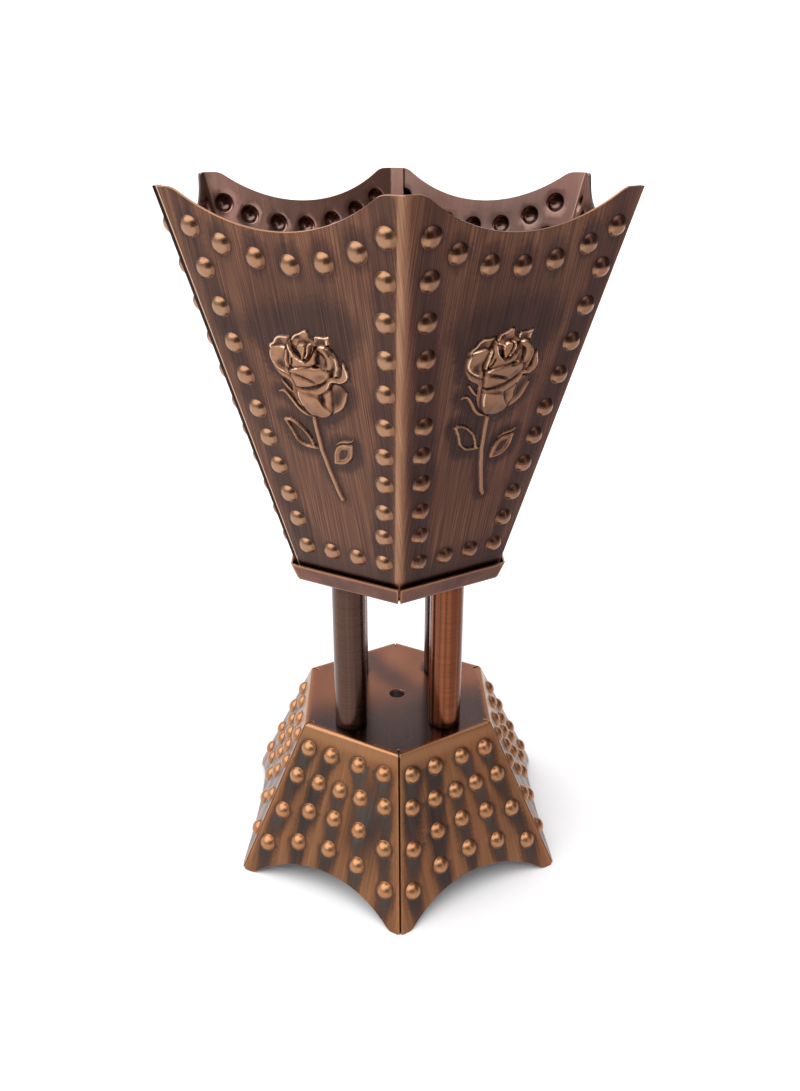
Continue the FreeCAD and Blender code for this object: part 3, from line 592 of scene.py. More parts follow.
# ------------------------------------------------------------------- the rose
# the stamp as overlapping petals, lowest first: outline with the height of
# the edge at each point, then points inside it; panel millimetres
PETALS = [
    # whole head
    ([
        (0.73, 50.50, 0.30), (-1.19, 51.27, 0.40), (-2.44, 52.90, 0.45), (-3.54, 54.79, 0.45), (-4.00, 56.82, 0.50),
        (-4.30, 58.81, 0.50), (-5.20, 60.11, 0.50), (-6.79, 61.01, 0.50), (-8.23, 62.27, 0.45), (-9.13, 63.87, 0.45),
        (-9.48, 65.79, 0.50), (-9.38, 67.79, 0.50), (-8.89, 69.58, 0.50), (-7.73, 70.15, 0.45), (-6.93, 71.35, 0.45),
        (-5.64, 72.05, 0.45), (-3.64, 72.15, 0.45), (-1.89, 72.32, 0.40), (-0.73, 72.89, 0.35), (0.73, 73.46, 0.30),
        (2.39, 74.13, 0.25), (3.59, 73.54, 0.25), (4.22, 72.66, 0.30), (5.10, 72.52, 0.40), (6.83, 72.65, 0.45),
        (9.22, 73.04, 0.45), (9.06, 71.48, 0.50), (9.16, 70.08, 0.50), (10.12, 68.46, 0.45), (10.76, 66.29, 0.50),
        (10.95, 64.30, 0.50), (9.86, 61.81, 0.50), (8.36, 60.71, 0.50), (7.27, 59.91, 0.50), (6.84, 57.88, 0.60),
        (6.61, 55.36, 0.55), (6.23, 52.80, 0.45), (4.86, 51.04, 0.35), (2.23, 50.30, 0.30)],
     [(0.93, 60.74, 1.20), (0.85, 66.64, 1.10), (4.67, 64.54, 0.90), (-5.51, 66.35, 0.60), (2.69, 54.59, 0.90)]),
    # right sepal
    ([
        (6.47, 52.63, 0.50), (7.66, 53.33, 0.50), (8.76, 54.23, 0.50), (9.66, 55.52, 0.50), (10.36, 56.72, 0.50),
        (11.10, 58.27, 0.42), (10.81, 59.79, 0.30), (9.32, 60.78, 0.45), (7.64, 60.57, 0.60), (6.84, 58.88, 0.60),
        (6.64, 56.39, 0.60), (6.37, 54.33, 0.50)],
     [(8.12, 57.10, 0.16), (7.75, 55.53, 0.20), (9.14, 58.53, 0.20)]),
    # outer left, back
    ([
        (-2.05, 72.15, 0.45), (-3.64, 72.05, 0.45), (-5.54, 71.95, 0.45), (-6.73, 71.25, 0.45), (-7.53, 70.15, 0.45),
        (-8.59, 69.58, 0.50), (-8.89, 68.09, 0.50), (-7.99, 67.89, 0.50), (-6.09, 68.29, 0.50), (-3.72, 68.24, 0.60),
        (-2.72, 70.14, 0.60), (-1.97, 71.11, 0.55)],
     [(-5.39, 70.35, 0.26), (-7.35, 69.17, 0.30)]),
    # outer left, front
    ([
        (-8.52, 68.20, 0.70), (-7.60, 68.79, 0.85), (-6.08, 69.17, 1.00), (-4.71, 69.33, 1.10), (-3.58, 68.96, 1.15),
        (-3.72, 67.64, 1.10), (-4.28, 66.13, 0.90), (-4.62, 64.51, 0.85), (-4.24, 63.47, 0.95), (-4.08, 61.81, 1.15),
        (-5.19, 62.11, 1.00), (-6.56, 62.75, 0.90), (-7.84, 63.68, 0.80), (-8.72, 64.82, 0.70), (-9.16, 66.18, 0.65),
        (-8.96, 67.48, 0.65)],
     [(-6.67, 67.43, 1.25), (-8.11, 66.06, 0.95), (-6.78, 65.79, 1.00), (-6.56, 64.45, 0.42), (-5.64, 63.97, 0.45),
      (-5.60, 65.27, 0.62), (-5.07, 67.27, 1.15), (-6.66, 63.74, 0.90), (-5.23, 62.98, 0.95)]),
    # tip
    ([
        (-1.85, 71.29, 0.70), (-1.23, 72.23, 0.60), (-0.51, 72.77, 0.50), (0.65, 73.24, 0.45), (1.61, 73.82, 0.40),
        (2.47, 74.09, 0.35), (3.36, 73.69, 0.35), (3.34, 72.65, 0.45), (4.05, 71.73, 0.60), (4.90, 71.24, 0.80),
        (5.45, 70.16, 1.00), (4.03, 70.32, 1.10), (2.72, 70.28, 1.20), (1.42, 69.98, 1.20), (-0.06, 69.98, 1.20),
        (-1.81, 70.56, 1.00)],
     [(0.00, 71.94, 0.26), (2.27, 73.01, 0.75), (1.66, 71.33, 0.60), (0.16, 71.11, 1.10), (3.22, 71.21, 0.55),
      (1.22, 70.75, 0.80)]),
    # crown
    ([
        (5.00, 70.45, 0.80), (5.02, 71.79, 0.70), (5.05, 72.63, 0.60), (6.44, 72.63, 0.60), (8.02, 72.72, 0.58),
        (9.26, 73.07, 0.50), (8.72, 72.22, 0.58), (8.25, 71.54, 0.62), (8.28, 70.65, 0.80), (6.90, 70.43, 0.95)],
     [(6.32, 71.47, 0.30), (7.23, 71.28, 0.32), (5.45, 71.29, 0.34)]),
    # right ring
    ([
        (8.18, 70.35, 0.80), (9.25, 69.21, 0.90), (10.02, 67.58, 1.00), (10.17, 65.84, 1.08), (9.81, 64.27, 1.12),
        (9.17, 62.83, 1.20), (8.33, 62.08, 1.28), (7.08, 62.63, 1.20), (7.41, 64.26, 1.10), (8.50, 65.45, 1.10),
        (9.00, 67.14, 1.10), (8.33, 69.17, 1.00)],
     [(8.10, 63.93, 0.55), (7.65, 63.07, 0.62), (8.81, 65.02, 0.70)]),
    # cup, side
    ([
        (2.88, 57.48, 0.90), (6.20, 59.20, 0.95), (6.96, 59.17, 0.90), (6.83, 56.55, 0.85), (6.46, 53.81, 0.62),
        (5.97, 52.43, 0.50), (5.12, 52.37, 0.70), (3.92, 54.23, 0.95)],
     [(6.17, 55.25, 1.30), (6.15, 57.54, 1.15), (4.54, 56.07, 0.72), (3.96, 56.78, 0.75)]),
    # cup, front
    ([
        (-2.73, 57.90, 1.10), (-2.80, 56.45, 1.00), (-2.53, 54.76, 0.85), (-2.05, 53.36, 0.70), (-1.27, 51.97, 0.55),
        (-0.39, 50.97, 0.40), (1.07, 50.64, 0.35), (2.67, 50.49, 0.35), (4.30, 50.97, 0.40), (5.75, 52.20, 0.60),
        (5.09, 53.70, 1.05), (4.26, 55.24, 1.28), (3.62, 56.57, 1.35), (3.21, 57.97, 1.20), (0.89, 58.33, 1.15),
        (-1.10, 58.43, 1.15)],
     [(1.12, 55.71, 1.70), (1.72, 53.10, 1.20), (2.62, 56.83, 1.60), (-0.72, 56.77, 1.50), (3.56, 52.87, 1.00)]),
    # roll
    ([
        (-2.92, 58.10, 1.10), (-1.22, 57.90, 1.25), (0.41, 57.63, 1.30), (2.00, 57.33, 1.30), (3.59, 57.43, 1.30),
        (4.96, 58.12, 1.28), (6.15, 58.91, 1.28), (7.12, 59.98, 1.25), (7.68, 61.04, 1.20), (8.30, 61.48, 1.10),
        (9.29, 61.29, 0.95), (10.57, 61.29, 0.80), (11.78, 61.92, 0.68), (12.53, 62.88, 0.62), (12.63, 64.37, 0.62),
        (12.14, 65.86, 0.62), (11.72, 67.25, 0.60), (11.23, 65.75, 0.60), (10.93, 64.56, 0.60), (10.60, 63.42, 0.70),
        (9.81, 62.72, 0.85), (8.76, 62.54, 1.05), (7.48, 62.63, 1.20), (6.79, 61.94, 1.20), (5.86, 61.01, 1.15),
        (4.33, 60.09, 1.10), (2.80, 59.36, 1.05), (0.77, 58.83, 1.00), (-1.25, 58.60, 0.95), (-2.84, 58.80, 0.95)],
     [(2.15, 58.26, 1.50), (4.33, 58.75, 1.50), (5.88, 59.71, 1.45), (7.23, 61.27, 1.40), (-0.48, 58.33, 1.30),
      (11.84, 63.44, 0.90), (10.32, 62.11, 1.00)]),
    # curl hollow
    ([
        (9.59, 62.64, 0.40), (10.29, 63.34, 0.40), (10.58, 64.54, 0.40), (10.90, 65.55, 0.42), (10.30, 65.65, 0.42),
        (9.79, 64.44, 0.40), (9.29, 63.24, 0.40)],
     [(10.11, 64.18, 0.30)]),
    # lower front
    ([
        (-3.52, 62.03, 1.35), (-3.06, 60.51, 1.30), (-2.82, 59.09, 1.10), (-1.14, 58.89, 1.10), (0.87, 59.11, 1.12),
        (2.88, 59.72, 1.15), (4.24, 60.38, 1.25), (3.54, 61.13, 1.50), (2.39, 61.66, 1.55), (0.70, 62.15, 1.55),
        (-1.32, 62.62, 1.50), (-3.24, 62.88, 1.45)],
     [(-0.69, 61.49, 1.92), (1.61, 60.93, 1.82), (-0.37, 59.81, 1.45), (2.94, 60.44, 1.50)]),
    # front
    ([
        (-3.67, 63.20, 1.65), (-2.72, 64.02, 1.85), (-1.28, 64.35, 1.92), (0.30, 64.75, 1.92), (1.68, 65.24, 1.92),
        (3.07, 65.64, 1.92), (4.40, 65.60, 1.85), (5.71, 65.44, 1.75), (6.85, 65.82, 1.55), (7.43, 64.74, 1.40),
        (7.75, 63.59, 1.30), (7.45, 62.59, 1.30), (6.17, 61.40, 1.30), (4.58, 60.51, 1.30), (3.70, 60.60, 1.45),
        (2.64, 61.30, 1.62), (0.77, 61.91, 1.64), (-1.24, 62.38, 1.60), (-3.16, 62.65, 1.55)],
     [(2.92, 63.96, 2.25), (4.59, 64.17, 2.10), (0.01, 63.84, 2.05), (5.81, 62.62, 1.35), (4.65, 61.66, 1.40),
      (6.30, 64.25, 1.75)]),
    # right pocket
    ([
        (3.75, 67.75, 0.85), (4.92, 69.00, 0.95), (5.92, 69.00, 0.95), (6.64, 67.94, 0.85), (6.90, 66.62, 0.80),
        (6.74, 65.25, 0.85), (5.84, 65.25, 0.85), (4.65, 64.96, 0.85), (3.55, 65.25, 0.85), (3.45, 66.55, 0.85)],
     [(5.11, 66.25, 0.66)]),
    # right inner
    ([
        (5.22, 69.92, 1.10), (6.41, 70.62, 1.10), (7.77, 70.49, 1.05), (8.80, 69.62, 1.10), (9.33, 68.16, 1.15),
        (9.37, 66.70, 1.20), (9.01, 65.44, 1.25), (8.15, 64.58, 1.30), (7.18, 64.91, 1.20), (7.34, 65.88, 1.15),
        (7.54, 67.27, 1.15), (6.95, 68.56, 1.15), (5.86, 69.25, 1.15)],
     [(8.74, 68.28, 1.70), (8.60, 66.47, 1.65), (7.70, 69.85, 1.50), (6.60, 70.16, 1.35)]),
    # left column
    ([
        (-4.09, 64.20, 1.50), (-4.17, 65.78, 1.65), (-3.89, 67.22, 1.75), (-3.45, 68.63, 1.80), (-2.86, 69.53, 1.80),
        (-2.62, 68.52, 1.60), (-2.78, 67.41, 1.40), (-3.12, 66.19, 1.35), (-3.22, 65.00, 1.35), (-3.44, 63.97, 1.45)],
     [(-3.44, 66.50, 1.70)]),
    # heart pocket
    ([
        (-2.76, 70.45, 1.00), (-2.69, 68.91, 1.10), (-2.09, 67.42, 1.10), (-0.80, 66.33, 1.10), (0.40, 65.73, 1.10),
        (1.69, 66.33, 1.15), (2.88, 67.32, 1.15), (3.88, 68.32, 1.15), (4.60, 69.85, 1.05), (3.80, 70.55, 1.00),
        (2.11, 70.55, 1.00), (0.62, 70.15, 1.00), (-0.91, 70.02, 0.95), (-1.87, 70.65, 1.00)],
     [(-1.67, 68.31, 0.80), (-0.33, 66.55, 0.88), (2.66, 69.04, 0.95), (3.65, 69.34, 1.00)]),
    # heart
    ([
        (-2.70, 69.40, 1.75), (-2.58, 70.63, 1.65), (-2.21, 71.34, 1.50), (-1.73, 70.80, 1.60), (-1.63, 69.65, 1.85),
        (-1.20, 68.40, 1.90), (-0.47, 67.54, 1.95), (0.56, 66.68, 2.00), (1.39, 66.21, 2.05), (2.38, 66.51, 2.05),
        (3.60, 67.52, 2.10), (4.59, 68.81, 2.10), (5.34, 69.77, 2.05), (5.42, 68.69, 1.90), (4.82, 67.32, 1.75),
        (4.61, 66.04, 1.60), (3.10, 65.26, 1.45), (1.10, 64.75, 1.42), (-1.40, 64.34, 1.40), (-3.08, 64.64, 1.40),
        (-3.10, 66.08, 1.50), (-2.72, 67.33, 1.60), (-2.54, 68.58, 1.70)],
     [(-0.63, 66.18, 2.00), (2.46, 65.92, 1.90), (-1.73, 65.89, 1.85)]),
    # bud
    ([
        (0.20, 69.80, 1.45), (0.70, 70.62, 1.55), (1.55, 70.90, 1.65), (2.45, 70.72, 1.80), (2.45, 69.80, 1.85),
        (2.15, 68.80, 1.85), (1.68, 67.70, 1.85), (1.28, 66.85, 1.80), (0.88, 66.50, 1.65), (0.72, 67.40, 1.50),
        (0.42, 68.40, 1.42)],
     [(1.35, 69.50, 1.62), (1.05, 68.20, 1.62)]),
    # ribbon of the next petal in
    ([
        (3.10, 70.70, 1.70), (3.02, 69.85, 1.80), (2.80, 69.00, 1.85), (2.35, 68.20, 1.85), (1.84, 67.40, 1.85),
        (2.14, 67.05, 1.85), (2.90, 67.90, 1.88), (3.42, 68.80, 1.90), (3.68, 69.70, 1.85), (3.72, 70.66, 1.70)],
     [(3.32, 69.80, 1.95)]),
]
# rolled free edges of the petals
LIPS = [
    [(-2.15, 71.80), (-3.64, 71.70), (-5.40, 71.58), (-6.45, 70.92), (-7.28, 69.80), (-8.25, 69.22), (-8.48, 68.05),
     (-8.76, 66.52), (-8.74, 65.42), (-8.28, 64.50), (-7.52, 63.68), (-6.16, 62.98), (-4.72, 62.36)],
    [(-8.42, 68.30), (-7.60, 68.79), (-6.08, 69.17), (-4.71, 69.33), (-3.68, 69.06)],
    [(-1.72, 71.02), (-1.12, 71.92), (-0.46, 72.44), (0.68, 72.90), (1.63, 73.46), (2.42, 73.72), (3.10, 73.36)],
    [(5.06, 71.02), (5.02, 71.79), (5.15, 72.53), (6.44, 72.53), (8.02, 72.62), (9.16, 72.97)],
    [(8.42, 72.22), (8.15, 71.54), (8.18, 70.75)],
    [(5.42, 70.12), (6.41, 70.52), (7.77, 70.39)],
    [(9.25, 69.21), (9.92, 67.58), (10.08, 65.84), (9.71, 64.27), (9.07, 62.93)],
    [(11.72, 67.15), (11.84, 65.86), (12.34, 64.37), (12.34, 63.07), (11.68, 62.12), (10.57, 61.49), (9.29, 61.48),
     (8.20, 61.68), (7.48, 61.24), (6.92, 60.18), (6.05, 59.11)],
    [(-3.67, 63.30), (-2.72, 63.92), (-1.28, 64.26), (0.30, 64.65), (1.68, 65.15), (3.07, 65.54), (4.40, 65.50),
     (5.71, 65.34), (6.75, 65.72)],
    [(-2.51, 71.14), (-2.19, 70.23), (-2.03, 69.55), (-1.40, 68.20), (-0.57, 67.34), (0.46, 66.58), (1.39, 66.31),
     (2.38, 66.70), (3.60, 67.72), (4.59, 68.91), (5.24, 69.67)],
    [(-3.99, 64.40), (-3.97, 65.78), (-3.69, 67.22), (-3.36, 68.54), (-2.86, 69.33)],
    [(2.55, 70.44), (3.30, 70.81), (4.16, 70.78)],
    [(0.36, 68.70), (0.28, 69.80), (0.75, 70.55), (1.55, 70.80), (2.40, 70.62)],
    [(2.40, 70.50), (2.38, 69.80), (2.08, 68.80), (1.62, 67.75), (1.22, 66.95)],
    [(3.40, 70.60), (3.36, 69.80), (3.12, 68.92), (2.62, 68.05), (2.00, 67.30)],
    [(-1.60, 70.70), (-0.20, 70.20), (0.90, 70.30)],
    [(-2.30, 57.90), (-2.38, 56.45), (-2.10, 54.80), (-1.62, 53.56)],
    [(-8.13, 62.17), (-6.99, 61.26), (-5.79, 60.51), (-4.90, 60.11)],
    [(9.25, 62.75), (9.50, 63.42)],
]
# pressed-in lines: points, width, depth left
GROOVES = [
    ([(-2.92, 62.83), (-1.20, 62.51), (0.78, 62.01), (2.66, 61.37), (3.84, 60.63)], 0.42, 1.28),
    ([(-2.82, 58.85), (-1.14, 58.70), (0.85, 58.94), (2.84, 59.49), (4.40, 60.25)], 0.42, 0.92),
    ([(-3.10, 64.50), (-1.24, 64.41), (1.24, 64.91), (3.22, 65.35), (4.41, 65.65)], 0.34, 1.30),
    ([(3.49, 56.74), (4.20, 55.09), (5.05, 53.56), (5.52, 52.67)], 0.40, 0.80),
    ([(7.48, 62.63), (6.69, 61.84), (5.89, 61.14), (4.90, 60.55)], 0.36, 1.05),
    ([(-1.85, 66.89), (-2.15, 65.81), (-3.20, 64.10)], 0.40, 1.05),
]
# narrow parts with a round back: points, width at the middle, height
RIBS = [
    ([(-8.71, 56.62), (-7.67, 56.91), (-6.67, 56.46), (-5.88, 55.46), (-4.96, 54.18), (-4.18, 52.97), (-3.18, 51.97),
      (-1.98, 51.27), (-0.69, 50.87), (0.71, 50.57)], 1.00, 0.55),
    ([(-7.17, 59.95), (-6.27, 58.75), (-5.44, 57.79), (-4.50, 56.92)], 0.90, 0.55),
    ([(-4.14, 59.24), (-4.04, 57.45), (-3.72, 55.59), (-3.12, 54.10), (-2.33, 52.90)], 0.70, 0.80),
    ([(6.37, 52.53), (7.80, 53.46), (8.80, 54.27), (9.70, 55.46), (10.40, 56.76), (11.25, 58.52)], 1.15, 0.68),
    ([(5.60, 43.50), (7.00, 44.25), (8.60, 44.55), (9.80, 44.80), (10.70, 45.30)], 0.75, 0.48),
]
STALK = ([(0.75, 51.4), (0.45, 50.6), (0.45, 46.6), (0.65, 43.6), (0.75, 41.1), (1.25, 38.6), (1.65, 36.1), (2.35, 33.1),
          (2.95, 30.6), (3.55, 28.1), (4.25, 26.4)], 1.15, 0.80)
LEAVES = [
    [(-9.25, 48.8), (-7.85, 49.2), (-5.85, 48.6), (-4.05, 47.3), (-2.55, 45.7), (-1.55, 43.8), (-0.95, 42.0), (0.15, 41.2),
     (-0.95, 41.0), (-2.35, 41.0), (-4.15, 41.2), (-5.55, 41.9), (-6.75, 43.2), (-7.45, 44.9), (-8.35, 46.9)],
    [(3.90, 37.6), (4.05, 39.2), (4.40, 40.9), (5.10, 42.3), (6.15, 43.3), (7.60, 43.7), (9.20, 43.8), (10.35, 44.0),
     (10.20, 42.4), (9.85, 40.7), (9.10, 39.4), (8.00, 38.3), (6.70, 37.7), (5.30, 37.5)],
]
ROSE_BOX = (-11.6, 23.4, 14.8, 76.8)
HEAD_BOX = (-11.0, 49.6, 14.2, 76.0)
STEM_BOX = (-10.6, 24.4, 12.4, 49.6)
ROSE_STEP = 0.1


def smooth01(x):
    x = np.clip(x, 0, 1)
    return x * x * (3 - 2 * x)


def along(p, line, n=6):
    """Distance of each point from a line, and how far along it lies."""
    pts = spline(np.asarray(line), n)
    seg = np.concatenate([[0], np.cumsum(np.linalg.norm(np.diff(pts, axis=0), axis=1))])
    seg /= seg[-1]
    best = np.full(len(p), 1e9)
    par = np.zeros(len(p))
    for i in range(len(pts) - 1):
        d = pts[i + 1] - pts[i]
        t = np.clip(((p - pts[i]) @ d) / (d @ d), 0, 1)
        q = p - pts[i] - t[:, None] * d
        dd = np.hypot(q[:, 0], q[:, 1])
        m = dd < best
        best[m] = dd[m]
        par[m] = seg[i] + (seg[i + 1] - seg[i]) * t[m]
    return best, par


def rib(h, p, line, width, height, taper=True):
    """Adds a round-backed rib along a line."""
    best, par = along(p, line)
    w = width * 0.5 * ((0.45 + 0.55 * np.sin(np.pi * np.clip(par, 0.03, 0.97)) ** 0.6) if taper else 1.0)
    x = best / w
    prof = np.where(x < 1, np.sqrt(np.clip(1 - 0.62 * x * x, 0, 1)), 0) * smooth01((1.28 - x) / 0.42)
    prof = np.where(x < 1.28, np.maximum(prof, smooth01((1.28 - x) / 0.5) * 0.6), 0)
    return np.maximum(h, height * prof)


def plate_fit(pts, q):
    """Thin-plate surface through the given heights, read at q."""
    pts = np.asarray(pts, float)
    xy, z = pts[:, :2], pts[:, 2]
    n = len(xy)

    def ker(a, b):
        r2 = ((a[:, None, :] - b[None, :, :]) ** 2).sum(-1)
        return 0.5 * r2 * np.log(np.maximum(r2, 1e-9))

    a = np.zeros((n + 3, n + 3))
    a[:n, :n] = ker(xy, xy) + 0.02 * np.eye(n)
    a[:n, n] = a[n, :n] = 1
    a[:n, n + 1:] = xy
    a[n + 1:, :n] = xy.T
    w = np.linalg.solve(a, np.concatenate([z, np.zeros(3)]))
    return ker(q, xy) @ w[:n] + w[n] + q @ w[n + 1:]


def rose_fields():
    """Height of the stamp and how much of a point is a free edge, on a fine raster."""
    nx = int(math.ceil((ROSE_BOX[2] - ROSE_BOX[0]) / ROSE_STEP)) + 1
    ny = int(math.ceil((ROSE_BOX[3] - ROSE_BOX[1]) / ROSE_STEP)) + 1
    xx, yy = np.meshgrid(ROSE_BOX[0] + np.arange(nx) * ROSE_STEP, ROSE_BOX[1] + np.arange(ny) * ROSE_STEP)
    p = np.stack([xx.ravel(), yy.ravel()], 1)
    k = np.zeros(len(p))
    lip = np.zeros(len(p))

    def close(arr, gap):
        a = np.asarray(arr)[:, :2]
        return np.nonzero((p[:, 0] > a[:, 0].min() - gap) & (p[:, 0] < a[:, 0].max() + gap) &
                          (p[:, 1] > a[:, 1].min() - gap) & (p[:, 1] < a[:, 1].max() + gap))[0]

    for line, w, hh in RIBS:
        m = close(line, 1.6)
        k[m] = rib(k[m], p[m], line, w, hh)
    m = close(STALK[0], 1.6)
    k[m] = rib(k[m], p[m], STALK[0], STALK[1], STALK[2], False)
    for i, (outline, inner) in enumerate(PETALS):
        poly = spline(np.asarray(outline)[:, :2], 5, True)
        m = close(outline, 1.4)
        q = p[m]
        d = seg_dist(q, poly, True)
        sd = np.where(inside(poly, q), d, -d)
        ramp = smooth01((sd + 0.15) / 0.32)
        top = plate_fit(outline + inner, q)
        if i == 0:
            top = top * smooth01((sd + 0.2) / 0.5)
        # the free edge stays round and the ground under it is pressed in a little
        top = top - 0.16 * np.exp(-np.clip(sd, 0, None) / 0.22)
        cur = k[m]
        g = np.exp(-((np.clip(-sd, 0, None) - 0.22) / 0.26) ** 2) * (1 - ramp)
        if i > 0:
            cur = np.where(sd < 0.15, np.maximum(cur - 0.16 * g, np.minimum(cur, 0.02)), cur)
        k[m] = cur * (1 - ramp) + np.maximum(top, 0.03) * ramp
    for line, w, left in GROOVES:
        m = close(line, 1.0)
        d, _ = along(p[m], line)
        f = smooth01((w * 0.5 + 0.20 - d) / 0.36)
        k[m] = np.where(k[m] > left, k[m] * (1 - f) + left * f, k[m])
    for line in LIPS:
        m = close(line, 1.2)
        d, par = along(p[m], line)
        f = np.exp(-(d / 0.28) ** 2) * smooth01(np.minimum(par, 1 - par) / 0.08)
        k[m] += 0.16 * f
        lip[m] = np.maximum(lip[m], np.exp(-(d / 0.32) ** 2) * smooth01(np.minimum(par, 1 - par) / 0.06))
    for line, w, hh in RIBS:
        m = close(line, 1.6)
        d, par = along(p[m], line)
        lip[m] = np.maximum(lip[m], 0.8 * np.exp(-(d / 0.30) ** 2))
    for leaf, cup in zip(LEAVES, (0.0, 1.0)):
        poly = spline(np.asarray(leaf), 5, True)
        m = close(leaf, 1.4)
        q = p[m]
        d = seg_dist(q, poly, True)
        sd = np.where(inside(poly, q), d, -d)
        rim = np.exp(-((sd - 0.42) / 0.42) ** 4)
        cur = np.maximum(k[m], 0.72 * rim)
        floor = 0.06 + 0.18 * smooth01((sd - 1.6) / 1.2) + cup * 0.50 * smooth01((2.3 - sd) / 1.6)
        k[m] = np.where(sd > 0.9, np.maximum(floor, 0.72 * rim), cur)
        lip[m] = np.maximum(lip[m], 0.7 * rim)
    m = close(STALK[0], 1.6)
    d, _ = along(p[m], STALK[0])
    lip[m] = np.maximum(lip[m], np.where(p[m, 1] < 50.0, 0.75 * np.exp(-(d / 0.40) ** 2), 0))
    return k.reshape(ny, nx), lip.reshape(ny, nx)


class Raster:
    """A field held on a fine raster and read between its points."""

    def __init__(self, box, step, values):
        self.x0, self.y0, self.st = box[0], box[1], step
        if callable(values):
            nx = int(math.ceil((box[2] - box[0]) / step)) + 1
            ny = int(math.ceil((box[3] - box[1]) / step)) + 1
            xx, yy = np.meshgrid(self.x0 + np.arange(nx) * step, self.y0 + np.arange(ny) * step)
            values = values(xx.ravel(), yy.ravel()).reshape(ny, nx)
        self.v = values
        self.ny, self.nx = values.shape

    def __call__(self, x, y):
        fx = np.clip((np.asarray(x, float) - self.x0) / self.st, 0, self.nx - 1.001)
        fy = np.clip((np.asarray(y, float) - self.y0) / self.st, 0, self.ny - 1.001)
        i, j = fx.astype(int), fy.astype(int)
        a, b = fx - i, fy - j
        v = self.v
        return (v[j, i] * (1 - a) + v[j, i + 1] * a) * (1 - b) + (v[j + 1, i] * (1 - a) + v[j + 1, i + 1] * a) * b


def blur(v, n):
    for _ in range(n):
        w = np.pad(v, 1, mode="edge")
        v = (w[:-2, 1:-1] + w[2:, 1:-1] + w[1:-1, :-2] + w[1:-1, 2:] + 2 * w[1:-1, 1:-1]) / 6
    return v


def soften(v, sigma):
    """Gaussian blur, sigma in raster steps."""
    r = int(math.ceil(2.6 * sigma))
    k = np.exp(-0.5 * (np.arange(-r, r + 1) / sigma) ** 2)
    k /= k.sum()
    for ax in (0, 1):
        w = np.pad(v, [(r, r) if i == ax else (0, 0) for i in (0, 1)], mode="edge")
        n = v.shape[ax]
        v = sum(k[i] * (w[i:i + n] if ax == 0 else w[:, i:i + n]) for i in range(2 * r + 1))
    return v


_HEIGHT, _LIP = rose_fields()
_HEIGHT = blur(_HEIGHT, 2)
ROSE_FINE = Raster(ROSE_BOX, ROSE_STEP, _HEIGHT)
ROSE_LIP = Raster(ROSE_BOX, ROSE_STEP, blur(_LIP, 1))


def in_rose(u, s):
    return (u > ROSE_BOX[0]) & (u < ROSE_BOX[2]) & (s > ROSE_BOX[1]) & (s < ROSE_BOX[3])


def rose_at(u, s):
    u, s = np.asarray(u, float), np.asarray(s, float)
    return np.where(in_rose(u, s), ROSE_FINE(u, s), 0.0)


ROSE_NEAR = Raster(ROSE_BOX, ROSE_STEP, soften(_HEIGHT, 4.5))
ROSE_SOFT = Raster(ROSE_BOX, ROSE_STEP, soften(_HEIGHT, 14.0))
ROSE_BACK = Raster(ROSE_BOX, ROSE_STEP, soften(_HEIGHT, 5.0) * 0.85)


def _halo(u, s):
    p = np.stack([u, s], 1)
    head = spline(np.asarray(PETALS[0][0])[:, :2], 3, True)
    return np.where(inside(head, p), 0.0, seg_dist(p, head, True))


def _stalk(u, s):
    p = np.stack([u, s], 1)
    d = seg_dist(p, spline(np.asarray(STALK[0]), 2)) + 0.5
    for line in (LEAVES[0], LEAVES[1], RIBS[0][0], RIBS[3][0]):
        d = np.minimum(d, seg_dist(p, spline(np.asarray(line), 2)))
    return d


HALO_HEAD = Raster((-22, 34, 24, 96), 0.5, _halo)
HALO_STALK = Raster((-22, 18, 24, 82), 0.5, _stalk)


def fine_points(step_head, step_stem, margin):
    """Extra points where the stamp needs them."""
    out = []
    for box, st in ((HEAD_BOX, step_head), (STEM_BOX, step_stem)):
        gx = np.arange(box[0], box[2], st)
        gy = np.arange(box[1], box[3], st * 0.87)
        xx, yy = np.meshgrid(gx, gy)
        xx = xx + (np.arange(len(gy)) % 2)[:, None] * st * 0.5
        g = np.stack([xx.ravel(), yy.ravel()], 1)
        h = rose_at(g[:, 0], g[:, 1])
        hh = h.reshape(xx.shape)
        m = hh > 0.01
        r = max(1, int(round(margin / st)))
        grown = m.copy()
        for _ in range(r):
            n = grown.copy()
            n[1:] |= grown[:-1]
            n[:-1] |= grown[1:]
            n[:, 1:] |= grown[:, :-1]
            n[:, :-1] |= grown[:, 1:]
            grown = n
        out.append(g[grown.ravel()])
    return np.concatenate(out)


# ------------------------------------------------------------ bowl patina map
def band(x, c, w, soft):
    return smooth01((w + soft - np.abs(x - c)) / soft)


def value_noise(x, y, cell, seed):
    """Smooth random field between 0 and 1."""
    x = np.asarray(x, float) / cell + 500
    y = np.asarray(y, float) / cell + 500
    xi, yi = np.floor(x).astype(int), np.floor(y).astype(int)
    fx, fy = smooth01(x - xi), smooth01(y - yi)

    def h(i, j):
        k = (i * 374761393 + j * 668265263 + seed * 362437) & 0xFFFFFFFF
        k = ((k ^ (k >> 13)) * 1274126177) & 0xFFFFFFFF
        return ((k ^ (k >> 16)) & 0xFFFF) / 65535.0

    return (h(xi, yi) * (1 - fx) + h(xi + 1, yi) * fx) * (1 - fy) + (h(xi, yi + 1) * (1 - fx) + h(xi + 1, yi + 1) * fx) * fy


def wobble(x, y, seed):
    return 0.6 * value_noise(x, y, 9.0, seed) + 0.4 * value_noise(x, y, 3.6, seed + 7) - 0.5


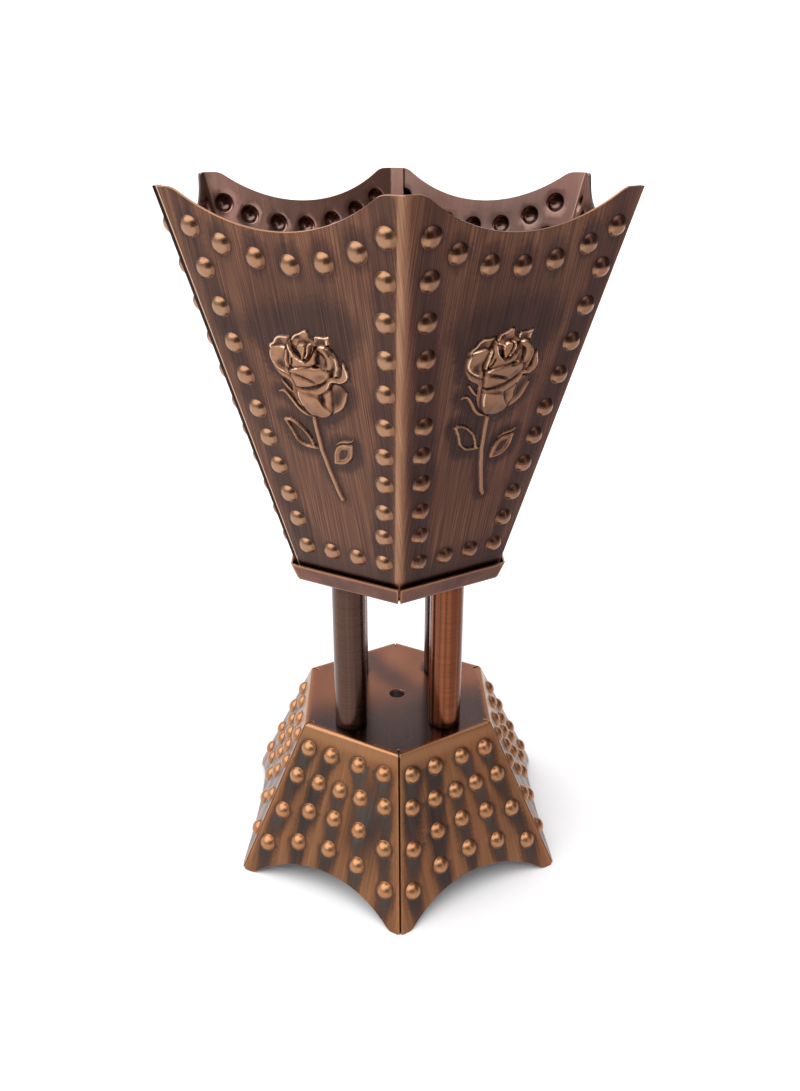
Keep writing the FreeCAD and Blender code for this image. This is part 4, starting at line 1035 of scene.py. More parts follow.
def bowl_att(kind, panel, seed, inner_painted_shade=0.0):
    domes = np.array(DOMES_A if kind == "A" else DOMES_B)
    left = np.array(sorted([d for d in domes if d[0] < 0 and (abs(d[1] - 96.9) < 0.1 or d[1] < 88) and d[0] < -8], key=lambda d: d[1]))
    right = np.array(sorted([d for d in domes if d[0] > 8 and (abs(d[1] - 96.9) < 0.1 or d[1] < 88)], key=lambda d: d[1]))
    arc = np.array([d for d in domes if d[1] > 88])

    def att(u, s, side, n):
        u, s = np.asarray(u, float), np.asarray(s, float)
        if side in (1, 2):
            pat = np.zeros(len(u))
            dm = np.full(len(u), 9.0)
            for c in domes:
                dm = np.minimum(dm, np.hypot(u - c[0], s - c[1]))
            pat = np.where(side == 2, 0.16 + 0.26 * smooth01((2.6 - dm) / 1.2), 0.16 * smooth01((4.4 - dm) / 1.4))
            # painted shade: inner faces get at least the given floor of patina, which darkens the inner face of the
            # rear right panel
            return np.maximum(pat, inner_painted_shade), np.zeros(len(u))
        wob = wobble(u, s, seed)
        streak = value_noise(u * 3.2, s * 0.16, 1.0, seed + 3) - 0.5
        hw = panel.half(s)
        pat = np.zeros(len(u))
        for col in (left, right):
            uc = np.interp(s, col[:, 1], col[:, 0])
            low = smooth01((96.0 - s) / 22.0)
            pat = np.maximum(pat, (0.30 + 0.24 * low) * smooth01((4.6 + 2.2 * wob + 1.2 * streak - np.abs(u - uc)) / 3.0))
        # patina left above the domes of the sweep
        for c in arc:
            dy = s - c[1]
            d = np.hypot((u - c[0]) / 0.95, np.where(dy > 0, dy / 1.5, dy / 1.15))
            pat = np.maximum(pat, 0.46 * smooth01((4.8 + 1.4 * wob + 1.4 * streak - d) / 2.6))
        # a thin even patina between the sweep and the stamp
        mid = np.hypot(u / 1.5, s - 80.0)
        pat = np.maximum(pat, 0.19 * smooth01((13.0 + 4.0 * wob + 2.0 * streak - mid) / 7.0))
        # darker foot: patina with painted shade, standing in for the dark gap where the bowl goes down into the tray
        pat = np.maximum(pat, 0.40 * smooth01((14.0 - s + 5 * wob) / 12.0))
        # stamp: dark ground around it
        hgt = rose_at(u, s)
        inx = (u > -22) & (u < 24)
        d = np.where(inx & (s > 34) & (s < 96), HALO_HEAD(u, s), 30.0)
        up = np.clip((s - 66.0) / 8.0, 0, 1)
        reach = 3.4 + 9.6 * up
        halo = (0.62 - 0.08 * up) * smooth01((reach + 3.0 * streak + 1.4 * wob - d) / (2.6 + 6.0 * up))
        d = np.where(inx & (s > 18) & (s < 82), HALO_STALK(u, s), 30.0)
        halo = np.maximum(halo, 0.56 * smooth01((3.6 + 1.6 * wob + 1.2 * streak - d) / 2.2))
        pat = np.maximum(pat, halo)
        # on the relief itself the hollows stay dark and the free edges are bare, with painted highlight: the lips are
        # made paler as a rim of light
        pol = np.zeros(len(u))
        near = in_rose(u, s)
        lip = np.where(near, ROSE_LIP(u, s), 0.0)
        cav = np.where(near, (ROSE_NEAR(u, s) - hgt) * 1.5 + (ROSE_SOFT(u, s) - hgt) * 0.62, 0)
        on = smooth01((hgt - 0.16) / 0.3)
        cloudy = 0.22 * (value_noise(u, s, 1.4, seed + 21) - 0.5) + 0.20 * (value_noise(u, s, 3.3, seed + 22) - 0.5)
        tone = np.clip(0.42 - 1.25 * cav + 1.15 * cloudy, 0, 0.66)
        pol = np.maximum(pol, on * np.maximum(tone, np.clip(lip * 1.12 - 0.7 * np.clip(cav, 0, 1), 0, 1)))
        deep = np.clip(1.05 * cav - 0.06 - 0.5 * cloudy, 0, 0.54)
        pat = pat * (1 - on) + on * deep * (1 - 0.8 * lip)
        pat = np.where(hgt < 0.2, np.maximum(pat, np.clip(1.1 * cav, 0, 0.85)), pat)
        # the domes: bare down to their foot, dark in the crease round it
        for c in domes:
            d = np.hypot(u - c[0], s - c[1])
            m = d < 4.2
            if m.any():
                top = smooth01((2.80 - d) / 0.24)
                crease = np.exp(-((d - 2.84) / 0.34) ** 2)
                # painted reflection: on the right hand panels the upper half of each dome is darkened and less
                # polished, and the domes there are a shade duller overall, standing in for the dark room they reflect
                dome_top_painted_shade = smooth01(((s - c[1]) - 0.22 * (u - c[0]) - 0.15) / 0.9) if kind == "B" else 0.0
                pol = np.where(m, np.maximum(pol * (1 - crease), ((0.73 if kind == "A" else 0.70) + 0.08 * cloudy) * top * (1 - 0.78 * dome_top_painted_shade)), pol)
                pat = np.where(m, np.maximum(pat * (1 - top), np.maximum(0.62 * crease, 0.30 * dome_top_painted_shade * top)), pat)
        # worn folds
        if kind == "A":
            dr = hw - u
            dl = u + hw
            pol = np.maximum(pol, 0.12 * smooth01((1.6 + 0.5 * wob - dl) / 1.6))
            pol = np.maximum(pol, 0.56 * smooth01((1.6 - dr) / 0.9))
            clear = np.maximum(smooth01((2.3 - dr) / 0.7), 0)
        else:
            dl = u + hw
            dr = hw - u
            pol = np.maximum(pol, 0.12 * smooth01((1.4 - dr) / 1.2))
            pol = np.maximum(pol, 0.50 * smooth01((1.7 - dl) / 1.0))
            clear = smooth01((2.4 - dl) / 1.8)
        dt = rim_s(u) - s
        # the ground is paler towards the rim
        pol = np.maximum(pol, 0.09 * smooth01((19.0 - dt) / 19.0) * (1 - 0.8 * np.clip(pat * 2, 0, 1)))
        pat = pat * (1 - 0.85 * clear)
        pat = np.clip(pat + 0.06 * wob * (pat > 0.05), 0, 1)
        return pat, pol

    return att


def bowl_wave(kind, panel, seed):
    """The sheet isn't dead flat: a few hundredths of a millimetre."""
    def wave(u, s):
        hw = panel.half(s)
        edge = smooth01((hw - np.abs(u) - 1.2) / 5.0) * smooth01((rim_s(u) - s - 0.8) / 5.0) * smooth01((s + 3.5) / 6.0)
        a = value_noise(u, s, 17.0, seed) - 0.5
        b = value_noise(u, s, 7.5, seed + 3) - 0.5
        return edge * (0.16 * a + 0.05 * b)
    return wave


def bowl_outline(fold_l, fold_r, raw):
    """Outline of a panel from its foot round, with the free edges marked.
    fold_l and fold_r give u for a row."""
    pts, free = [], []
    ab = bowl_apothem(S_BEND)
    ar = bowl_apothem(S_RELIEF)
    nb = 9
    for u in np.linspace(-relief_w(ab), relief_w(ab), nb):
        pts.append((u, S_BEND))
        free.append(False)
    free[-1] = True
    pts.append((float(relief_w(ar)), S_RELIEF))
    free.append(True)
    for s in EDGE_ROWS[:-1]:
        pts.append((float(fold_r(s)), s))
        free.append(raw)
    pts.append((float(fold_r(RIM_TOP_S)), RIM_TOP_S))
    free.append(True)
    for u, s in RIM:
        pts.append((u, s))
        free.append(True)
    pts.append((float(fold_l(RIM_TOP_S)), RIM_TOP_S))
    free.append(False)
    for s in EDGE_ROWS[:-1][::-1]:
        pts.append((float(fold_l(s)), s))
        free.append(False)
    free[-1] = True
    pts.append((float(-relief_w(ar)), S_RELIEF))
    free.append(True)
    return np.array(pts), free


def foot_flange(piece, p, mid, key):
    """The bend at the foot of a wall and the flange that goes in from it."""
    d = np.array([math.cos(math.radians(mid)), math.sin(math.radians(mid)), 0.0])
    up = np.array([0, 0, 1.0])
    t = T_BOWL
    tb = p.at(0, S_BEND, 0)
    a0 = float(tb @ d)
    c_a = a0 - BEND_FOOT * CW
    c_z = float(tb[2]) + BEND_FOOT * SW
    th0 = -W
    rows_o, rows_i, uvs = [], [], []
    w0 = float(relief_w(bowl_apothem(S_BEND)))
    base_u = np.linspace(-w0, w0, 9)
    wide = []
    for i, th in enumerate(np.linspace(th0, -math.pi / 2, 7)):
        ro = (c_a + BEND_FOOT * math.cos(th), c_z + BEND_FOOT * math.sin(th))
        ri = (c_a + (BEND_FOOT - t) * math.cos(th), c_z + (BEND_FOOT - t) * math.sin(th))
        w = float(relief_w(ro[0]))
        uu = base_u * (w / w0)
        cut = EDGE * (math.sqrt(1 + (TAN30 * SW) ** 2) * (1 - i / 6) + i / 6 / COS30)
        uu = np.where(np.abs(base_u) > w0 - 1e-6, np.sign(base_u) * (w - cut), uu)
        rows_o.append(d * ro[0] + up * ro[1] + uu[:, None] * p.u)
        rows_i.append(d * ri[0] + up * ri[1] + uu[:, None] * p.u)
        uvs.append(np.stack([uu, np.full(9, -6.0 - i * 0.2)], 1))
        wide.append(w)
        last = (ro, ri, uu, w)
    ro_, ri_, uv_ = np.array(rows_o), np.array(rows_i), np.array(uvs)
    strip(piece, ro_, ri_, uv_, 0.4, 0.0, flip=True)
    for col, sg in ((0, -1), (-1, 1)):
        a, b = ro_[:, col], ri_[:, col]
        k = EDGE / t
        full = np.array([d * 0 + p.u * (sg * x) for x in wide]) - (uv_[:, col, 0][:, None] * p.u)
        edge_rows(piece, a, a * (1 - k) + b * k + full, a * k + b * (1 - k) + full, b, uv_[:, col], 0.4, flip=sg > 0)
    # flat flange with the hole for a tie rod where one passes
    a1, a2 = last[0][0], 16.4
    w1, w2 = float(relief_w(a1)), float(relief_w(a2))
    out = [(u, a1) for u in last[2]]
    out[0], out[-1] = (-w1, a1), (w1, a1)
    pts = [(w2, a2), (-w2, a2)] + out
    # x along u, y outwards in apothem: clockwise in (u, a), so turn it round
    poly = np.array([(-x, y) for x, y in pts])[::-1]
    free = []
    m = len(poly)
    for i in range(m):
        j = (i + 1) % m
        free.append(not (abs(poly[i][1] - a1) < 1e-6 and abs(poly[j][1] - a1) < 1e-6))
    holes = []
    for x in (-POST_X, POST_X):
        for y in (-POST_Y, POST_Y):
            q = np.array([x, y, 0.0])
            aa, uu = float(q @ d), float(q @ p.u)
            if a2 + 2 < aa < a1 and abs(uu) < relief_w(aa) - 3:
                holes.append(((-uu, aa), 2.25))

    def place(x, y, n):
        x, y, n = np.broadcast_arrays(np.asarray(x, float), np.asarray(y, float), np.asarray(n, float))
        return d * y[..., None] - x[..., None] * p.u + up * (FOOT_Z - n[..., None])

    area = 0.5 * sum(poly[i][0] * poly[(i + 1) % m][1] - poly[(i + 1) % m][0] * poly[i][1] for i in range(m))
    if area < 0:
        poly, free = poly[::-1], free[::-1]
        free = free[1:] + free[:1]
    flat(piece, key, place, poly, free, t, lambda u, s, side, n: (np.full(len(u), 0.35), np.zeros(len(u))),
         holes=holes, step=(3.0, 3.0), edge_polish=0.3)


FINE_OUT = fine_points(0.20, 0.26, 0.6)
FINE_IN = fine_points(0.52, 0.52, 0.8)


def bowl_relief(u, s, side):
    if side == 0:
        h = rose_at(u, s)
        # the polished petals keep small hammer-like dents
        return h + smooth01((h - 0.35) / 0.4) * (0.060 * (value_noise(u, s, 0.62, 5) - 0.5) + 0.05 * (value_noise(u, s, 1.3, 6) - 0.5))
    # seen from inside, the press has rounded everything off
    out = ROSE_BACK(u, s)
    return np.where((u > ROSE_BOX[0]) & (u < ROSE_BOX[2]) & (s > ROSE_BOX[1]) & (s < ROSE_BOX[3]), out, 0.0)


def bowl_sheet(name, a0, seed):
    pc = Piece()
    pa, pb, pn = (Panel(a, BOWL_LOW_R, BOWL_LOW_Z, BOWL_TOP_R, BOWL_TOP_Z) for a in (a0, a0 + 60, a0 - 60))
    depth = T_BOWL + TAB_GAP
    t = T_BOWL
    fab = Fold(pa, pb, 0.0, FOLD_R)
    ftab = Fold(pa, pn, depth, 1.0)
    # left panel
    out, free = bowl_outline(lambda s: ftab.u(s), lambda s: fab.u(s), False)
    flat(pc, "bowlA", pa.at, out, free, t, bowl_att("A", pa, seed), domes=DOMES_A, step=(0.95, 1.7),
         relief=bowl_relief, fine=FINE_OUT, fine_in=FINE_IN, wave=bowl_wave("A", pa, seed + 1), seed=seed,
         edge_tone=lambda u, s: (0.7, 0.05) if a0 == 330 else (0.0, 0.70))
    # right panel, with its raw edge at the right
    cut = 0.06
    out, free = bowl_outline(lambda s: fab.other(s)[0], lambda s: pb.half(s) - cut, True)
    # painted shade: the rear right panel's inner face is darkened through its patina floor, where it reflects a bright
    # part of the room
    flat(pc, "bowlB", pb.at, out, free, t, bowl_att("B", pb, seed + 40, 0.28 if a0 == 330 else 0.0), domes=DOMES_B, step=(0.95, 1.7),
         relief=bowl_relief, fine=FINE_OUT, fine_in=FINE_IN, wave=bowl_wave("B", pb, seed + 5), seed=seed + 1,
         uvoff=(80.0, 0.0),
         edge_tone=lambda u, s: (0.85, 0.0) if u > pb.half(s) - cut - 0.25 and s < RIM_TOP_S - 0.3 else (0.7, 0.05) if a0 == 90 else (0.15, 0.55))
    # the folds
    for fold, off, edge_side in ((fab, 0.0, 1.0), (ftab, 1.0, 0.0)):
        rad = fold.radius
        steps = 8
        rows = fold.rows(ROWS, rad, steps)
        rin = fold.rows(ROWS, rad - t, steps)
        f = np.linspace(0, 1, steps + 1)
        if off == 0.0:
            uu = fold.u(ROWS)[:, None] + f[None, :] * 1.5
            pol = 0.60 - 0.06 * f[None, :] + 0 * uu
            for wide, far, amt in ((0.36, 9.0, 0.22), (0.16, 16.0, 0.16), (1.4, 5.0, 0.12)):
                grain = value_noise(uu / wide, np.repeat(ROWS / far, steps + 1).reshape(uu.shape), 1.0, seed + 61)
                pol = pol + amt * (grain - 0.5)
        else:
            uu = fold.u(ROWS)[:, None] - f[None, :] * 1.2
            pol = np.broadcast_to(0.98 - 0.75 * f[None, :], uu.shape)
        uv = np.stack([uu, np.broadcast_to(ROWS[:, None], uu.shape)], -1)
        flip = off == 0.0
        strip(pc, rows, rin, uv, 0.0, pol, flip=flip)
        a = fold.axis(RIM_TOP_S)
        ns = [fold.nq if k == 0 else fold.nr if k == 1 else slerp(fold.nq, fold.nr, k) for k in f]
        bo = np.array([a + (rad - EDGE) * k for k in ns])
        bi = np.array([a + (rad - t + EDGE) * k for k in ns])
        edge_rows(pc, rows[-1], bo, bi, rin[-1], uv[-1], flip=not flip)
        a = fold.axis(S_RELIEF)
        bo = np.array([a + (rad - EDGE) * k for k in ns])
        bi = np.array([a + (rad - t + EDGE) * k for k in ns])
        edge_rows(pc, rows[0], bo, bi, rin[0], uv[0], 0.3, flip=flip)
    # lap tab behind the neighbour's edge
    us, ss = ftab.other(EDGE_ROWS)
    ut, st = us[-1:], ss[-1:]
    right = [(float(x), float(y)) for x, y in zip(us, ss)]
    top_s = float(st[0])
    top = [(float(u), float(min(rim_s(u), RIM_TOP_S) + top_s - RIM_TOP_S)) for u in
           np.linspace(ut[0] - 0.6, pn.half(top_s) - TAB_W, 6)]
    low = float(ss[0])
    left = [(float(pn.half(s) - TAB_W), float(s)) for s in np.linspace(top[-1][1], low, 30)[1:]]
    out = right + top + left
    free = [False] * (len(right) - 1) + [True] * (len(out) - len(right) + 1)

    def tab_at(u, s, n):
        return pn.at(u, s, np.asarray(n, float) - depth)

    flat(pc, "tab", tab_at, out, free, t, lambda u, s, side, n: (np.full(len(u), 0.15), np.zeros(len(u))),
         step=(1.4, 1.8), uvoff=(0.0, 0.0))
    # feet
    foot_flange(pc, pa, a0 + 30, name + "fa")
    foot_flange(pc, pb, a0 + 90, name + "fb")
    return pc


# --------------------------------------------------------------- folded pans
def pan(kind):
    """The base and the tray: a plate and six bent flaps with open corners."""
    pc = Piece()
    if kind == "base":
        t, z_plate, r_top, up, radius, slit = T_BASE, BASE_TOP_Z, BASE_TOP_R, -1, 1.2, 0.28
        slope = math.atan((BASE_LOW_R - BASE_TOP_R) * COS30 / BASE_TOP_Z)
        length = BASE_TOP_Z / math.cos(slope)
        back = 2.4
    else:
        t, z_plate, r_top, up, radius, slit = T_TRAY, TRAY_Z, TRAY_LOW_R, 1, 0.9, 0.42
        slope = math.atan((TRAY_TOP_R - TRAY_LOW_R) * COS30 / (TRAY_TOP_Z - TRAY_Z))
        length = (TRAY_TOP_Z - TRAY_Z) / math.cos(slope)
        back = 2.0
    e = EDGE
    ap = r_top * COS30
    ang = math.acos(-math.sin(slope))
    tl = radius / math.tan(ang / 2)
    a_t = ap - tl
    plate_in = ap - back
    gap = slit / COS30
    z = np.array([0, 0, 1.0])
    n_bend = 33 if kind == "base" else 21
    # plate
    pts, free = [], []
    for k in range(6):
        mid = math.radians(60 + 60 * k)
        d = np.array([math.cos(mid), math.sin(mid)])
        u = np.array([-d[1], d[0]])
        w_t = a_t * TAN30 - gap
        pts.append(d * plate_in + u * -(plate_in * TAN30 - gap))
        for x in np.linspace(-w_t, w_t, n_bend):
            pts.append(d * a_t + u * x)
        pts.append(d * plate_in + u * (plate_in * TAN30 - gap))
        pts.append(d * plate_in + u * (plate_in * TAN30))
        free += [True] + [False] * (n_bend - 1) + [True, True, True]
    pts = np.array(pts)
    rods = [((x, y), 2.25) for x in (-POST_X, POST_X) for y in (-POST_Y, POST_Y)]
    face = 1 if up < 0 else -1          # the outer face looks up on the base, down on the tray

    def place_plate(x, y, n):
        x, y, n = np.broadcast_arrays(np.asarray(x, float), np.asarray(y, float), np.asarray(n, float))
        if face < 0:
            return np.stack([-x, y, z_plate - n], -1)
        return np.stack([x, y, z_plate + n], -1)

    poly = pts.copy()
    fr = list(free)
    if face < 0:
        poly = np.stack([-poly[:, 0], poly[:, 1]], 1)[::-1]
        fr = fr[::-1][1:] + fr[::-1][:1]
    holes = list(rods)
    if kind == "base":
        holes.append(((0.0, 0.0), 2.5))

    def att_plate(x, y, side, n):
        r = np.hypot(x, y)
        pol = np.zeros(len(x))
        pat = np.zeros(len(x))
        for (hx, hy), hr in rods:
            d = np.hypot(x - hx, y - hy)
            pat = np.maximum(pat, 0.9 * smooth01((6.6 - d) / 1.4))
        ae = np.zeros(len(x))
        for k in range(6):
            m = math.radians(60 * k)
            ae = np.maximum(ae, x * math.cos(m) + y * math.sin(m))
        pol = (0.5 if kind == "base" else 0.5) * smooth01((ae - a_t + 0.5) / 0.7)
        if kind == "base":
            # painted reflection: the rear left is left bare while a slanting band and the front are darkened, standing
            # in for the room reflected in the smooth plate
            k1 = (x + 0.62 * y) / 1.18
            band = np.exp(-((k1 - 3.5) / 5.0) ** 2) * smooth01((y + 6) / 16)
            front = smooth01((8.0 - y + 0.25 * x) / 22.0)
            tone = 0.04 + 0.62 * front + 0.42 * band + 0.10 * (value_noise(x, y, 8.0, 91) - 0.5)
            pat = np.maximum(pat * 0.8, tone * (1 - pol))
        return pat, pol

    flat(pc, kind + "plate", place_plate, poly, fr, t, att_plate, holes=holes, step=(1.2, 1.6), e=e,
         mats=(3, 1, 2) if kind == "base" else (0, 1, 2),
         wave=(lambda x, y: 0.09 * (value_noise(x, y, 15.0, 77) - 0.5) * smooth01((24.0 - np.hypot(x, y)) / 8.0) *
               smooth01((np.hypot(x, y) - 3.2) / 4.0) * smooth01((np.hypot(np.abs(x) - POST_X, np.abs(y) - POST_Y) - 5.6) / 3.0))
         if kind == "base" else None)
    for k in range(6):
        a0 = 30 + 60 * k
        mid = a0 + 30
        d = np.array([math.cos(math.radians(mid)), math.sin(math.radians(mid)), 0.0])
        if kind == "base":
            p = Panel(a0, BASE_LOW_R, 0.0, BASE_TOP_R, BASE_TOP_Z)
        else:
            p = Panel(a0, TRAY_LOW_R, TRAY_Z, TRAY_TOP_R, TRAY_TOP_Z)
        L = p.length
        s_t = L - tl if up < 0 else tl
        hw = lambda s: p.half(s) - gap

        def place(u, s, n, p=p):
            q = p.at(u, s, n)
            if kind == "base":
                low = q[..., 2] < 0
                if np.any(low):
                    q = np.where(low[..., None], q - (q[..., 2:3] / p.s[2]) * p.s, q)
            return q

        if kind == "base":
            out, free = base_outline(p, s_t, gap)
            att = base_att(p, 11 + k, k)
            # painted shade: the base flaps' cut edges are kept dull and dark, standing in for the thin shadow along the
            # arches
            flat(pc, "baseflap", place, out, free, t, att, domes=DOMES_BASE, step=(0.95, 1.8), e=e, seed=50 + k, edge_polish=0.30,
                 uvoff=(0.0, 0.0), wave=lambda u, s, k=k, p=p: 0.10 * (value_noise(u, s, 16.0, 31 + k) - 0.5) *
                 smooth01((p.half(s) - np.abs(u) - 1.5) / 5) * smooth01((s - 9) / 9) * smooth01((L - 2.5 - s) / 5))
        else:
            n_e = 21
            top = [(float(x), L) for x in np.linspace(hw(L), -hw(L), n_e)]
            bot = [(float(x), s_t) for x in np.linspace(-hw(s_t), hw(s_t), n_e)]
            out = bot + top
            free = [False] * (n_e - 1) + [True] * (n_e + 1)
            flat(pc, "trayflap", place, out, free, t, tray_att(p, 70 + k, k), step=(0.8, 1.4), e=e)
        # the bend between the flap and the plate
        n_o = p.n
        c0 = p.at(0, s_t, 0) - radius * n_o
        n_pl = np.array([0, 0, float(face)])
        rows_o, rows_i, uvs, eo, ei = [], [], [], [], []
        ff = np.linspace(0, 1, 9)
        n_u = n_bend
        k_f = math.sqrt(1 + (0.5 * (p.top_w - p.low_w) / L) ** 2)
        for f in ff:
            nn = n_o if f == 0 else n_pl if f == 1 else slerp(n_o, n_pl, f)
            co, ci = c0 + radius * nn, c0 + (radius - t) * nn
            w = float(co @ d) * TAN30 - gap
            cut = e * (k_f + (1 / COS30 - k_f) * f)
            uu = np.linspace(-w, w, n_u)
            uu[0], uu[-1] = -(w - cut), w - cut
            rows_o.append(co + uu[:, None] * p.u)
            rows_i.append(ci + uu[:, None] * p.u)
            uvs.append(np.stack([uu, np.full(n_u, (L + f * 1.4) if up < 0 else -f * 1.2)], 1))
            eo.append((c0 + (radius - e) * nn, w))
            ei.append((c0 + (radius - t + e) * nn, w))
        ro, ri, uv = np.array(rows_o), np.array(rows_i), np.array(uvs)
        polish = np.broadcast_to(0.56 if kind == "base" else 0.35, ro.shape[:2])
        sgn = up < 0
        strip(pc, ro, ri, uv, 0.0, polish, flip=not sgn)
        for col, sg in ((0, -1), (-1, 1)):
            b = np.array([c + sg * w * p.u for c, w in eo])
            c_ = np.array([c + sg * w * p.u for c, w in ei])
            edge_rows(pc, ro[:, col], b, c_, ri[:, col], uv[:, col], 0.8, flip=(sg > 0) == (not sgn))
    return pc


def base_outline(p, s_t, gap):
    """Flap of the base with its arch and rounded feet, counter-clockwise."""
    cs = ARCH_TOP_S - ARCH_R
    uc = math.sqrt((ARCH_R + ARCH_FOOT_R) ** 2 - (ARCH_FOOT_R - cs) ** 2)
    a_t = math.atan2(ARCH_FOOT_R - cs, uc)
    hw = lambda s: float(p.half(s) - gap)
    arch = []
    for a in np.linspace(math.pi - a_t, a_t, 40):
        arch.append((ARCH_R * math.cos(a), cs + ARCH_R * math.sin(a)))
    foot_r = []
    a1 = math.atan2(cs - ARCH_FOOT_R, -uc)
    for a in np.linspace(a1, -math.pi / 2, 7)[1:]:
        foot_r.append((uc + ARCH_FOOT_R * math.cos(a), ARCH_FOOT_R + ARCH_FOOT_R * math.sin(a)))
    h0 = hw(0)
    tip = [(h0 - 0.95, 0.0), (h0 - 0.62, 0.07), (h0 - 0.34, 0.26), (h0 - 0.2, 0.52), (hw(0.9) + 0.0, 0.9)]
    right = arch + foot_r + tip
    pts = list(right)
    free = [True] * len(pts)
    for s in np.linspace(0.9, s_t, 46)[1:]:
        pts.append((hw(s), s))
        free.append(True)
    n_top = 33
    free[-1] = False
    for u in np.linspace(hw(s_t), -hw(s_t), n_top)[1:]:
        pts.append((u, s_t))
        free.append(False)
    free[-1] = True
    for s in np.linspace(s_t, 0.9, 46)[1:]:
        pts.append((-hw(s), s))
        free.append(True)
    for u, s in tip[:-1][::-1]:
        pts.append((-u, s))
        free.append(True)
    for u, s in foot_r[::-1]:
        pts.append((-u, s))
        free.append(True)
    # drop the point that closes onto the first
    out, fr = [], []
    for i, q in enumerate(pts):
        if out and math.hypot(q[0] - out[-1][0], q[1] - out[-1][1]) < 1e-4:
            fr[-1] = free[i]
            continue
        out.append(q)
        fr.append(free[i])
    if math.hypot(out[0][0] - out[-1][0], out[0][1] - out[-1][1]) < 1e-4:
        out.pop()
        fr.pop()
    return np.array(out), fr


def base_att(p, seed, k):
    domes = np.array(DOMES_BASE)
    cols = [[0, 4, 9, 14], [1, 5, 10, 15], [6, 11, 16], [2, 7, 12, 17], [3, 8, 13, 18]]

    def att(u, s, side, n):
        u, s = np.asarray(u, float), np.asarray(s, float)
        if side:
            return np.full(len(u), 0.3), np.zeros(len(u))
        wob = wobble(u, s, seed)
        streak = value_noise(u * 2.6, s * 0.14, 1.0, seed + 5) - 0.5
        pat = np.zeros(len(u))
        for c in cols:
            q = domes[c]
            q = q[np.argsort(q[:, 1])]
            uc = np.interp(s, q[:, 1], q[:, 0])
            # widest under each dome, thinner on the way down to the next
            up = np.min(np.where(q[:, 1][None, :] >= s[:, None] - 0.5, q[:, 1][None, :] - s[:, None], 60.0), axis=1)
            fade = np.where(up < 50, np.exp(-np.clip(up, 0, None) / 16.0), 0.30 * np.exp(-(s - q[-1, 1]) / 1.6))
            wide = 3.1 - 0.10 * np.clip(up, 0, 9) + 2.0 * wob + 1.1 * streak
            pat = np.maximum(pat, 0.80 * fade * smooth01((wide - np.abs(u - uc)) / 3.4 + 0.45))
        if k == 3:
            # painted sheen: a wide greyish patch over the columns beside the front corner, laid in as patina, stands in
            # for the lacquer's grey reflection there
            cloud = np.exp(-((u - 10.5) / 6.0) ** 2 - ((s - 29.0) / 13.0) ** 2)
            pat = np.maximum(pat, (0.66 + 0.5 * wob + 0.3 * streak) * cloud)
        pat = pat * smooth01((p.length - 3.6 + 1.2 * wob - s) / 3.0)
        pol = np.zeros(len(u))
        pol = np.maximum(pol, 0.50 * (1 - smooth01((p.length - 2.2 - s) / 3.6)))
        dr = p.half(s) - np.abs(u)
        pol = np.maximum(pol, 0.46 * smooth01((1.5 + wob - dr) / 1.2))
        for c in domes:
            d = np.hypot(u - c[0], s - c[1])
            m = d < 4.2
            if m.any():
                topd = smooth01((2.80 - d) / 0.24)
                # painted shade: the crease round each dome is darker below it than above it
                crease = np.exp(-((d - 2.84) / 0.34) ** 2) * (0.80 - 0.20 * np.clip((s - c[1]) / 3, -1, 1))
                # painted shade: the lower right side of each dome is left less polished, a dark crescent where the dome
                # turns away from the light
                low = smooth01((0.7 * (c[1] - s) + 0.5 * (u - c[0]) - 0.1) / 2.0)
                pol = np.where(m, np.maximum(pol * (1 - 0.7 * crease), (0.68 - 0.20 * low) * topd), pol)
                pat = np.where(m, np.maximum(pat * (1 - topd), 0.72 * crease), pat)
        pat = pat * (1 - 0.8 * smooth01((1.8 - dr) / 0.9))
        return np.clip(pat, 0, 1), pol

    return att


def tray_att(p, seed, k):
    def att(u, s, side, n):
        u, s = np.asarray(u, float), np.asarray(s, float)
        wob = wobble(u * 1.5, s * 1.5, seed)
        if side:
            return np.full(len(u), 0.45), np.zeros(len(u))
        pol = 0.55 * smooth01((s - p.length + 0.7) / 0.4)
        ends = smooth01((0.9 - (p.half(s) - np.abs(u))) / 0.6)
        pol = np.maximum(pol, 0.5 * ends)
        return np.clip(0.22 + 0.5 * wob, 0, 1) * (1 - ends), pol
    return att


# ---------------------------------------------------------------- round parts
def lathe(pc, prof, centre=(0, 0), seg=64, pat=None, pol=None, mat=0, closed=False, phase=0.0, wob=None):
    """Turns a list of (r, z). Points at r=0 close into a fan."""
    a = phase + np.arange(seg) * 2 * math.pi / seg
    pts, uv = [], []
    length = 0.0
    for i, (r, z) in enumerate(prof):
        if i:
            length += math.hypot(r - prof[i - 1][0], z - prof[i - 1][1])
        rr = np.full(seg, float(r))
        zz = np.full(seg, float(z))
        if wob is not None:
            dr, dz = wob(a, r, z)
            rr, zz = rr + dr, zz + dz
        pts.append(np.stack([centre[0] + rr * np.cos(a), centre[1] + rr * np.sin(a), zz], 1))
        uv.append(np.stack([a * max(r, 2.0), np.full(seg, length)], 1))
    rows = len(prof) + (1 if closed else 0)
    if closed:
        pts.append(pts[0])
        uv.append(uv[0])
    n = len(prof)
    pv = np.repeat(0.0 if pat is None else np.asarray(pat, float), seg) if np.ndim(pat) else np.full(n * seg, pat or 0.0)
    pl = np.repeat(np.asarray(pol, float), seg) if np.ndim(pol) else np.full(n * seg, pol or 0.0)
    if closed:
        pv = np.concatenate([pv, pv[:seg]])
        pl = np.concatenate([pl, pl[:seg]])
    pc.add(np.concatenate(pts), grid_faces(rows, seg, True), np.concatenate(uv), pv, pl, mat=mat)


